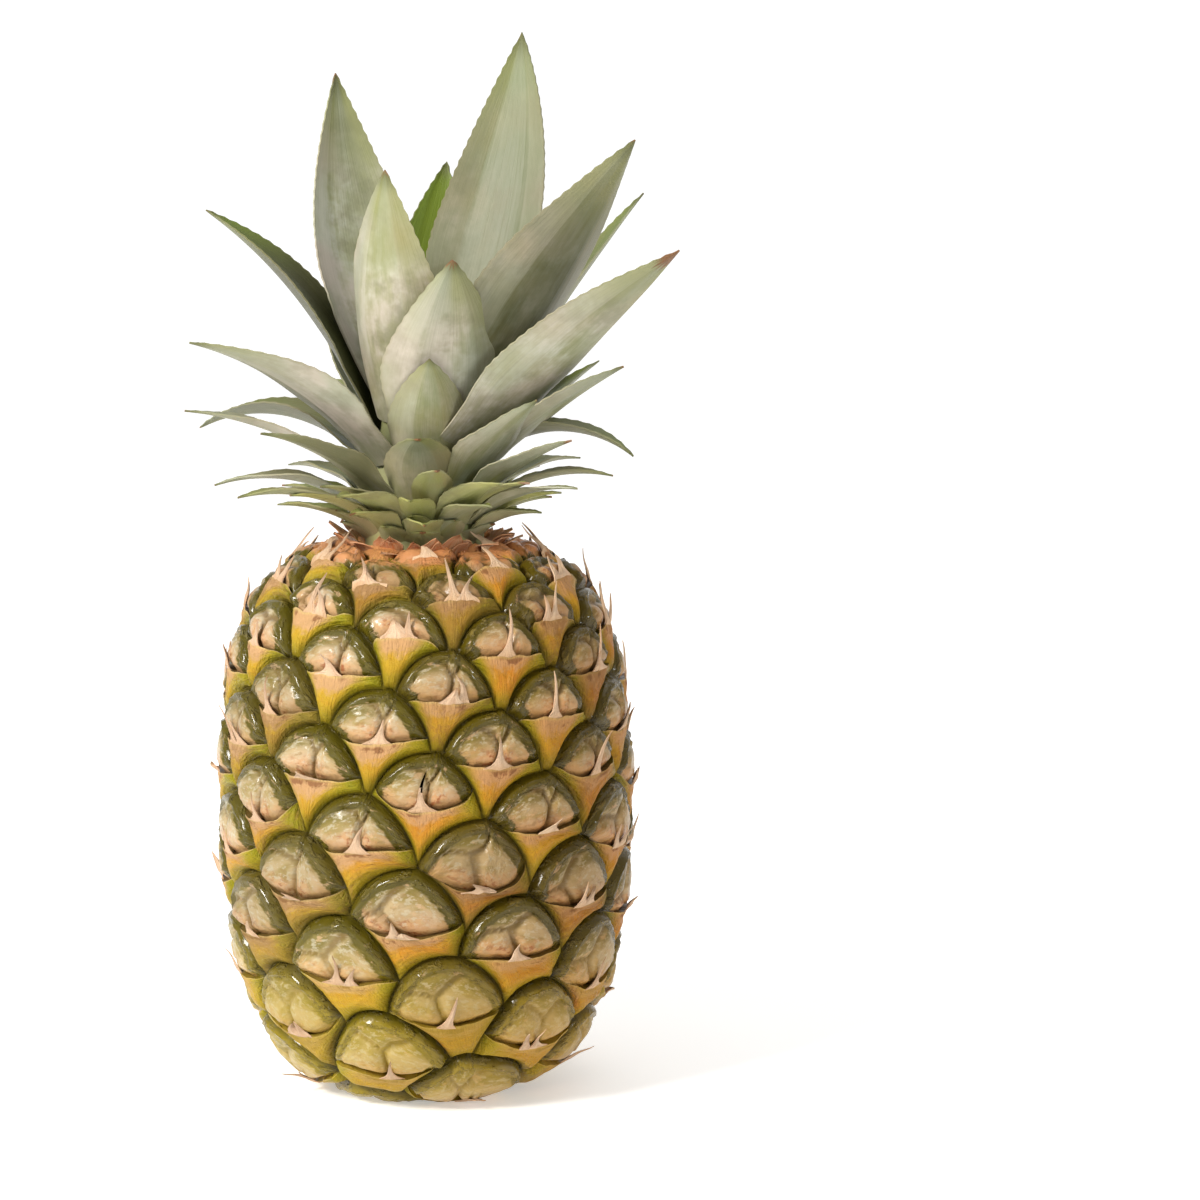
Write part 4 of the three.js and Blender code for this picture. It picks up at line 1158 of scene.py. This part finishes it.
# these leaves take painted shade over a whole half, from the middle, and stronger than the rest
shadedFromMiddle = ("arch_left", "short_left")
leafDry = {"low_right": 0.75, "upright_front": 0.3, "front_low": 0.4, "short_right": 0.5}
leafLook = {
    "across": 12, "perRow": 1.7, "fewestRows": 18, "thick": 0.85, "thinnest": 0.3,
    "tooth": 0.38, "toothRows": 2, "toothSpan": (0.3, 0.985), "toothWidth": 24,
    "wave": 0.5, "beat": (1.2, 2.4), "otherSide": 1.3,
    "fold": 0.8, "foldSpot": (0.3, 0.55), "foldWide": 0.13, "foldFrom": 0.15, "foldFull": 0.3,
    "foldSteps": 8, "pinch": 0.86, "keel": 0.35, "keelWide": 0.12, "edgeThin": 0.55, "tipThin": 0.45,
    "weld": 0.00006, "litFrom": -40,
}


def stemRadius(height):
    outline = crown["stem"]
    above = next(i for i, (_, z) in enumerate(outline) if z >= height)
    (r0, z0), (r1, z1) = outline[max(above - 1, 0)], outline[max(above, 1)]
    return r0 + (r1 - r0) * (height - z0) / (z1 - z0)


def halfWidthAt(share, width):
    if share < crown["widestAt"]:
        grown = float(easing(share / crown["widestAt"]))
        return width / 2 * (crown["rootShare"] + (1 - crown["rootShare"]) * grown)
    past = (share - crown["widestAt"]) / (1 - crown["widestAt"])
    return width / 2 * max(1 - past ** crown["broadTaper" if width > crown["broad"] else "slimTaper"], 0)


def leafFrame(leaf, share):
    late = min(share, 1) ** leaf.get("bend", 1)
    tilt, sweep = (radians(root + (tip - root) * late) for root, tip in (leaf["tilt"], leaf["sweep"]))
    azimuth = radians(leaf["azimuth"])
    away = np.array([sin(azimuth), -cos(azimuth), 0.0])
    side = np.array([cos(azimuth), sin(azimuth), 0.0])
    outwards = away * sin(tilt) + np.array([0, 0, cos(tilt)])
    return outwards * cos(sweep) + side * sin(sweep), side * cos(sweep) - outwards * sin(sweep)


def leafSpine(leaf, rows):  # centre line, heading, direction across, half width and curl of each row
    rootHeight = crown["foot"] + leaf["seat"]
    azimuth = radians(leaf["azimuth"])
    reach = stemRadius(rootHeight) + crown["gap"] + crown["thick"] * 0.6 - leaf.get("sink", 0)
    middle = np.array([sin(azimuth) * reach, -cos(azimuth) * reach, rootHeight])
    spine = []
    for k in range(rows + 1):
        share = k / rows
        heading, side = leafFrame(leaf, share)
        width = max(halfWidthAt(share, leaf["width"]), 0.01)
        channel = crown["channel"] * float(easing(share / crown["channelFrom"]))
        shell = hypot(middle[0], middle[1]) / max(heading[2], 0.05)
        bow = min(shell, width / (2 * max(channel, 0.01)))
        spine.append((middle.copy(), heading, side, width, bow))
        for i in range(4):
            middle += leafFrame(leaf, share + (i + 0.5) / (4 * rows))[0] * leaf["length"] / rows / 4
    return spine


def foldAt(x, turn, spot, sharp):  # a round channel, pinched into a flatter middle between two folds
    steps, wide = leafLook["foldSteps"], leafLook["foldWide"]
    across = rise = 0.0
    for i in range(steps):
        at = abs(x) * (i + 0.5) / steps
        rounded, pinched = turn * at, turn * leafLook["pinch"] * float(easing((at - spot + wide) / (2 * wide)))
        lean = rounded + (pinched - rounded) * sharp
        across += cos(lean) * abs(x) / steps
        rise += sin(lean) * abs(x) / steps
    return (across if x > 0 else -across), rise


def leafPoint(x, share, row, rows, leaf, spine, drawn):  # where one point of the leaf's grid goes
    phase, beat, foldSpot = drawn
    middle, heading, side, reach, bow = spine
    edge = abs(x)
    toothed = leafLook["toothSpan"][0] < share < leafLook["toothSpan"][1] and row % leafLook["toothRows"] == 0
    turn = reach
    if edge > 0.99 and toothed:
        turn = reach = reach + leafLook["tooth"] * min(1, leaf["width"] / leafLook["toothWidth"])
    folded = float(easing((share - leafLook["foldFrom"]) / leafLook["foldFull"]))
    across, rise = foldAt(x, turn / bow, foldSpot, leafLook["fold"] * folded * (row < rows))
    swing = sin(phase + beat * 6.28 * share + (leafLook["otherSide"] if x > 0 else 0))
    sway = leafLook["wave"] * edge ** 2 * swing * min(share * 3, 1) * (1 - share ** 3)
    keel = -leafLook["keel"] * exp(-(x / leafLook["keelWide"]) ** 2) * (1 - share)
    return middle + side * reach * across + np.cross(heading, side) * (reach * rise + sway + keel)


def thickenLeaf(piece, body):  # thin towards the edges and the tip, with a material for either face
    group = piece.vertex_groups.new(name="body")
    for i, weight in enumerate(body):
        group.add([i], weight, "REPLACE")
    pick(piece)
    bpy.ops.object.mode_set(mode="EDIT")
    bpy.ops.mesh.select_all(action="SELECT")
    bpy.ops.mesh.remove_doubles(threshold=leafLook["weld"])
    bpy.ops.object.mode_set(mode="OBJECT")
    for material in (leafOuter, leafInner):
        piece.data.materials.append(material)
    wall = piece.modifiers.new("wall", "SOLIDIFY")
    wall.thickness = leafLook["thick"] * mm
    wall.offset = 0
    wall.vertex_group = "body"
    wall.thickness_vertex_group = leafLook["thinnest"]
    wall.material_offset = 1
    applyAll(piece)


def shapeLeaf(name, leaf, draw, columns, rows):
    deselectAll()
    bpy.ops.mesh.primitive_grid_add(x_subdivisions=columns, y_subdivisions=rows, size=2)
    piece = bpy.context.object
    piece.name = piece.data.name = name
    spine = leafSpine(leaf, rows)
    drawn = (draw.uniform(0, 6), draw.uniform(*leafLook["beat"]), draw.uniform(*leafLook["foldSpot"]))
    places, body = [], []
    for x, y, _ in coordsOf(piece.data):
        share = (y + 1) / 2
        row = min(int(round(share * rows)), rows)
        places.append(leafPoint(x, share, row, rows, leaf, spine[row], drawn))
        thinned = max(1 - leafLook["edgeThin"] * abs(x) ** 2.5, leafLook["thinnest"])
        body.append(thinned * (1 - leafLook["tipThin"] * share ** 2))
    piece.data.vertices.foreach_set("co", (np.array(places) * mm).ravel())
    thickenLeaf(piece, body)
    shadeSide = 0.1 if leaf["azimuth"] < leafLook["litFrom"] else 0.9
    shadeFrom = 0.0 if name.endswith(shadedFromMiddle) else drawn[2]
    paintAll(piece.data, "leafTone", leaf["tone"])
    paintAll(piece.data, "leafDraw", (draw.random(), draw.random(), shadeSide, shadeFrom))
    return piece


leafColours = {
    "green": (0.2, 0.21, 0.07), "sage": (0.23, 0.25, 0.155), "khaki": (0.155, 0.15, 0.078),
    "deep": (0.055, 0.056, 0.018), "bright": (0.13, 0.185, 0.012), "fresh": (0.4, 0.4, 0.11),
    "wax": (0.5, 0.49, 0.4), "waxPink": (0.49, 0.43, 0.36), "tan": (0.34, 0.25, 0.13),
    "tip": (0.17, 0.08, 0.03), "tipGreen": (0.095, 0.1, 0.03), "margin": (0.25, 0.22, 0.11),
}


leafPatches = {
    "pinkWax": ((30.0, 2.0), (0.42, 0.6)), "cover": ((60.0, 4.0, 0.6), (0.36, 0.6, 0.35, 1.0)),
    "brown": ((36.0, 3.0, 0.55), (0.46, 0.66)), "shade": ((80.0, 4.0, 0.65), (0.46, 0.66, 0.0, 0.5)),
}
leafSpans = {  # from where to where each change goes, then how strong it is at either end
    # shares of the leaf's length
    "coverAlong": (1.0, 0.4, 0.3, 0.95), "facetAlong": (0.1, 0.3), "livingEnd": (0.6, 0.98, 0.0, 0.65),
    "greenTip": (0.9, 0.99, 0.0, 0.8),
    # shares of its half width
    "pastFold": (-0.02, 0.03), "margin": (0.95, 0.99, 0.0, 0.3), "middleShadeStrength": (0.1, 0.05, 0.12, 0.8),
    # the side that the light reaches and the other, and how waxy the leaf is
    "shaded": (0.0, 0.01), "lit": (0.0, -0.01), "shadeWax": (0.0, 0.3, 0.2, 1.0),
}
leafShares = {
    "film": 0.55, "washes": 0.4, "streaks": 0.35, "waxy": 1.1, "leastWax": 0.15, "innerWax": 1.6,
    "shadedTan": 0.7, "tan": 0.8, "litWax": 0.4, "fibres": 0.1, "marks": 0.4,
}
leafFibres = {"fibres": (30.0, 1.5), "washes": (7.0, 3.0), "streaks": (16.0, 9.0), "seed": 60.0}
leafFilm = {"scale": 48.0, "marks": 220.0, "marked": 0.15}
leafTip = {"from": 0.995, "drier": 0.11, "soft": 0.03, "ragged": 0.06}
leafSheen = {
    "rough": 0.5, "roughSpan": (0.42, 0.64), "specular": 0.35, "fibres": 0.7, "dust": 0.3,
    "bumpDeep": 0.00014, "bumpStrong": 0.55,
}


def leafMaterial(name, inner):
    tone, share = leafColours, leafShares
    made, shader = freshMaterial(name, leafSheen["rough"], leafSheen["specular"])
    x, y, _ = partsOf(uvOf("UVMap"))
    waxy, tan, deep, dry = drawOf("leafTone")
    seed, _, shadeSide, fold = drawOf("leafDraw")
    place = objectPlace()
    seedy = joined(x, y, times(seed, leafFibres["seed"]))
    fibres, washes, streaks = (fibresOn(seedy, *leafFibres[kind]) for kind in ("fibres", "washes", "streaks"))
    film = placed(bloomGroup, Vector=place, Scale=leafFilm["scale"], Amount=waxy)
    marks = placed(spotGroup, Vector=place, Scale=leafFilm["marks"], Amount=leafFilm["marked"])["Mask"]
    side = mathOf("ABSOLUTE", minus(times(x, 2.0), 1.0))

    def patch(name):
        return patchOf(place, leafPatches[name])

    def change(value, name):
        return step(value, *leafSpans[name])

    living = blend(washes["Broad"], tone["green"], tone["sage"])
    if inner:
        living = blend(times(waxy, share["innerWax"], clamp=True), tone["bright"], living)
    living = blend(times(deep, -1.0, clamp=True), living, tone["fresh"])
    wax = blend(patch("pinkWax"), tone["wax"], tone["waxPink"])
    cover = plus(times(film["Mask"], share["film"]), times(washes["Fine"], share["washes"]))
    cover = plus(cover, times(streaks["Fine"], share["streaks"]))
    cover = times(cover, plus(times(waxy, share["waxy"]), share["leastWax"]), clamp=True)
    cover = times(cover, change(y, "coverAlong"), patch("cover"))

    facet = times(change(minus(side, fold), "pastFold"), change(y, "facetAlong"))
    turned = times(minus(x, 0.5), minus(shadeSide, 0.5))
    shaded, lit = (times(facet, change(turned, name)) for name in ("shaded", "lit"))
    brown = times(plus(patch("brown"), times(shaded, share["shadedTan"])), tan, clamp=True)
    shade = plus(patch("shade"), times(shaded, change(fold, "middleShadeStrength")), clamp=True)
    dryFrom = minus(leafTip["from"], times(dry, leafTip["drier"]))
    ragged = plus(y, times(minus(washes["Fine"], 0.5), leafTip["ragged"]))
    colour = layered(
        tone, living,
        (mathOf("MAXIMUM", deep, 0.0), "deep"),
        (times(cover, waxy) if inner else cover, wax),
        (times(brown, share["tan"]), "tan"),
        (times(shade, change(waxy, "shadeWax")), "khaki"),
        (times(lit, waxy, share["litWax"]), wax),
        (times(fibres["Fine"], share["fibres"]), "khaki"),
        (change(side, "margin"), "margin"),
        (times(marks, share["marks"]), "tip"),
        (change(y, "livingEnd"), living),
        (change(y, "greenTip"), "tipGreen"),
        (step(ragged, dryFrom, plus(dryFrom, leafTip["soft"])), "tip"),
    )
    height = plus(times(fibres["Fine"], leafSheen["fibres"]), times(film["Grain"], leafSheen["dust"]))
    wireAll(shader, {
        "Base Color": colour,
        "Roughness": between(cover, *leafSheen["roughSpan"]),
        "Normal": bumpOf(height, leafSheen["bumpDeep"], leafSheen["bumpStrong"]),
    })
    return made


def makeLargeLeaves():
    draw = random.Random(crown["largeSeed"])
    for label, (azimuth, seat, length, width, tilt, sweep, *tone) in leafTable.items():
        dry = leafDry.get(label, 0.18 * draw.random())
        leaf = {"azimuth": azimuth, "seat": seat, "length": length, "width": width, "tilt": tilt, "sweep": sweep,
                "bend": leafBend.get(label, 1), "tone": (*tone, dry)}
        rows = max(leafLook["fewestRows"], int(length / leafLook["perRow"]))
        piece = shapeLeaf("leafPiece_" + label, leaf, draw, leafLook["across"], rows)
        smoothed(piece, crown["smoothAngle"])
        settle(piece, "leaf_" + label)


leafOuter = leafMaterial("leafOuterFace", False)
leafInner = leafMaterial("leafInnerFace", True)
makeLargeLeaves()
print("large leaves made:", len(leafTable))


smallSets = {  # the rings of small leaves from the foot to the bud; the tones are numbers or spans to draw from
    "footLeaf": {
        "count": 22, "seat": -1, "rise": 6, "length": 27, "width": 12, "tilt": (50, 94), "gather": 10, "sway": 24,
        "seed": 23, "grid": (8, 20), "tones": ((0.05, 0.3), (0.1, 0.5), (-0.9, -0.2), (0, 1)),
    },
    "collarLeaf": {
        "count": 15, "seat": -3.4, "rise": 2, "length": 11, "width": 12, "tilt": (34, 74), "gather": 6, "sway": 16,
        "seed": 37, "grid": (6, 8), "tones": ((0.0, 0.2), (0.4, 0.9), (-0.5, 0.0), (0, 1)),
    },
    "budLeaf": {
        "count": 7, "seat": 40, "rise": 10, "length": 20, "width": 14, "tilt": (8, 22), "gather": 5, "sway": 10,
        "seed": 29, "grid": (8, 16), "tones": ((0.0, 0.2), 0.1, (-0.6, 0.0), 0.0),
    },
    "coreLeaf": {
        "count": 6, "seat": 45, "rise": 5, "length": 14, "width": 11, "tilt": (-6, -46), "gather": 0, "sway": 12,
        "seed": 41, "grid": (6, 12), "tones": (0.0, 0.1, (-0.8, -0.2), 0.0),
    },
}


def smallLeaves(look):
    draw = seededDraw(look["seed"])
    for i in range(look["count"]):
        up = i / look["count"]
        azimuth = i * 137.5 + 10 * draw()
        length = (look["length"] + look["gather"] * up) * (0.85 + 0.3 * draw())
        yield {
            "azimuth": azimuth, "seat": look["seat"] + look["rise"] * up, "length": length, "width": look["width"],
            "tilt": tuple(tilt - look["gather"] * up for tilt in look["tilt"]),
            "sweep": (0, look["sway"] * (draw() - 0.5)), "sink": 3,
        }


def addCylinder(name, sides, radius, low, high):
    deselectAll()
    bpy.ops.mesh.primitive_cylinder_add(vertices=sides, radius=radius * mm, depth=(high - low) * mm,
                                        location=(0, 0, (high + low) / 2 * mm))
    piece = bpy.context.object
    piece.name = name
    bpy.ops.object.transform_apply(location=True, rotation=True, scale=True)
    return piece


def makeCrownStem():
    outline = crown["stem"]
    radii, heights = zip(*outline)
    stem = addCylinder("stem", crown["stemSides"], radii[0], heights[0], heights[-1])
    bpy.ops.object.mode_set(mode="EDIT")
    cutAcross(heights[1:-1])
    bpy.ops.object.mode_set(mode="OBJECT")
    for vertex in stem.data.vertices:
        scale = max(np.interp(vertex.co.z / mm, heights, radii), 0.4) / radii[0]
        vertex.co.x *= scale
        vertex.co.y *= scale
    paintAll(stem.data, "leafTone", crown["stemTone"])
    paintAll(stem.data, "leafDraw", crown["stemDraw"])
    for material in (leafOuter, leafInner):
        stem.data.materials.append(material)
    draw = random.Random(crown["smallSeed"])
    parts = [stem]
    for name, look in smallSets.items():
        for leaf in smallLeaves(look):
            leaf["tone"] = [draw.uniform(*tone) if isinstance(tone, tuple) else tone for tone in look["tones"]]
            parts.append(shapeLeaf(name, leaf, draw, *look["grid"]))
    piece = joinedPieces("crownStemPiece", parts)
    smoothed(piece, crown["smoothAngle"])
    return settle(piece, "crown_stem")


makeCrownStem()
print("crown stem and its small leaves made")


# Dry bracts round the crown's foot.
neckLook = {
    "rings": [(17, -3.6, 8.5), (20, -5.2, 8.5), (14, -2.4, 7)],  # count, height and length
    "long": (0.6, 1.35), "width": (5.0, 9.0), "tilt": (26, 70), "strays": ((-12, 18), (-30, 30)), "sweep": 16,
    "grid": (4, 6), "proud": 2.6, "drop": 0.5, "thick": 0.2, "flap": 0.2, "curl": 0.35, "seed": 63, "smoothAngle": 50,
    "tones": {
        "pale": (0.62, 0.32, 0.15), "deep": (0.58, 0.2, 0.065), "root": (0.42, 0.26, 0.07), "tip": (0.34, 0.13, 0.05),
        "fibre": (0.72, 0.58, 0.42),
    },
}


def bractPlaces(leaf, i, height, across, along, through):
    rows = neckLook["grid"][1]
    spine = leafSpine(leaf, rows)
    places = []
    for x, t, w in zip(across, along, through):
        middle, heading, side, width, _ = spine[min(int(round(t * rows)), rows)]
        flap = 1 + neckLook["flap"] * sin(7 * t + i)
        curl = neckLook["curl"] * sin(4 * t + 2 * x + i) * t
        place = middle + side * width * x * flap + np.cross(heading, side) * (w * neckLook["thick"] + curl)
        places.append(place + np.array([0, 0, height - neckLook["drop"]]))
    return places


def makeNeckBracts():
    mesh, *grid = sheetMesh("oneBract", *neckLook["grid"])
    draw = random.Random(neckLook["seed"])
    parts = []
    for count, height, length in neckLook["rings"]:
        for i in range(count):
            leaf = {
                "azimuth": (i + draw.random()) * 360 / count, "seat": 0, "sink": -neckLook["proud"],
                "length": length * draw.uniform(*neckLook["long"]), "width": draw.uniform(*neckLook["width"]),
                "tilt": [tilt + draw.uniform(*stray) for tilt, stray in zip(neckLook["tilt"], neckLook["strays"])],
                "sweep": (0, draw.uniform(-neckLook["sweep"], neckLook["sweep"])),
            }
            places = bractPlaces(leaf, i, height, *grid)
            parts.append(copyOf(mesh, "bract", places, (draw.random(), draw.random(), 0, 1)))
    piece = joinedPieces("neckBracts", parts)
    smoothed(piece, neckLook["smoothAngle"])
    return settle(piece, "fruit")


neckBracts = makeNeckBracts()
neckBracts.data.materials.append(paperyMaterial("dryNeckBract", neckLook["tones"]))
print("neck bracts made")


# The cut stalk under the fruit.
stalk = {
    "foot": 9.2, "top": 10.2, "height": 15.65, "sides": 48, "cuts": (0.2, 0.4, 0.6, 0.8),
    "rim": 0.9, "dishWide": 2.4, "dishDeep": 0.25, "ripple": 0.012, "ripples": 9, "cutRim": 8.8, "cutRise": 0.6,
    "smoothAngle": 35, "cutFace": (0.0015, 0.0003), "ring": (7.4, 9.2, 0.0, 0.7), "bundles": 900,
    "bundle": (0.2, 0.45), "fibres": (16.0, 60.0), "marks": 300.0, "marked": 0.3, "marksShare": 0.6,
    "rough": 0.85, "specular": 0.2, "bumpDeep": 0.0004, "bumpStrong": 0.9,
}
stalkColours = {
    "pith": (0.26, 0.15, 0.07), "bundle": (0.58, 0.42, 0.24), "ring": (0.24, 0.14, 0.06),
    "bark": (0.28, 0.19, 0.09), "barkFibre": (0.45, 0.34, 0.17), "mark": (0.12, 0.07, 0.03),
}


def makeStalk():
    piece = addCylinder("cutStalk", stalk["sides"], stalk["foot"], 0, stalk["height"])
    bpy.ops.object.mode_set(mode="EDIT")
    cutAcross([stalk["height"] * share for share in stalk["cuts"]])
    bpy.ops.mesh.select_all(action="DESELECT")
    bpy.ops.object.mode_set(mode="OBJECT")
    for face in piece.data.polygons:
        face.select = face.normal.z < -0.9
    bpy.ops.object.mode_set(mode="EDIT")
    bpy.ops.mesh.inset(thickness=stalk["rim"] * mm, depth=0)
    bpy.ops.mesh.inset(thickness=stalk["dishWide"] * mm, depth=-stalk["dishDeep"] * mm)
    bpy.ops.object.mode_set(mode="OBJECT")
    for vertex in piece.data.vertices:
        up = vertex.co.z / (stalk["height"] * mm)
        angle = atan2(vertex.co.y, vertex.co.x)
        grow = 1 + (stalk["top"] / stalk["foot"] - 1) * up + stalk["ripple"] * sin(stalk["ripples"] * angle) * up
        if up < 0.01 and hypot(vertex.co.x, vertex.co.y) > stalk["cutRim"] * mm:
            vertex.co.z = stalk["cutRise"] * mm
        vertex.co.x *= grow
        vertex.co.y *= grow
    smoothed(piece, stalk["smoothAngle"])
    return settle(piece, "stem_stub")


def stalkMaterial():
    made, shader = freshMaterial("cutStalkFibre", stalk["rough"], stalk["specular"])
    tone = stalkColours
    place = objectPlace()
    x, y, z = partsOf(place)
    onCut = step(z, *stalk["cutFace"])
    bundles = addNode("TexVoronoi")
    wireAll(bundles, {"Vector": place, "Scale": stalk["bundles"]})
    dots = step(bundles.outputs["Distance"], *stalk["bundle"])
    fibres = fibresOn(joined(mathOf("ARCTAN2", y, x), z), *stalk["fibres"])
    marks = placed(spotGroup, Vector=place, Scale=stalk["marks"], Amount=stalk["marked"])["Mask"]
    inRing = step(times(radialOf(x, y), 1000.0), *stalk["ring"])
    pith = layered(tone, tone["pith"], (dots, "bundle"), (inRing, "ring"))
    bark = layered(tone, tone["bark"], (fibres["Fine"], "barkFibre"))
    wireAll(shader, {
        "Base Color": layered(tone, bark, (onCut, pith), (times(marks, stalk["marksShare"]), "mark")),
        "Normal": bumpOf(between(onCut, fibres["Fine"], dots), stalk["bumpDeep"], stalk["bumpStrong"]),
    })
    return made


cutStalk = makeStalk()
cutStalk.data.materials.append(stalkMaterial())
print("cut stalk made")


def paleMaterial(name, look):
    made, shader = freshMaterial(name, look["rough"], look["specular"])
    pale = blend(grainOf(objectPlace(), *look["grain"]), *look["tones"])
    wireAll(shader, {
        "Base Color": look.get("base", pale), "Emission Color": pale, "Emission Strength": look["glow"],
    })
    return made


floor.data.materials.append(paleMaterial("paleFloor", studio["floor"]))
backdrop.data.materials.append(paleMaterial("paleBackdrop", studio["backdrop"]))
print("all materials are in place")
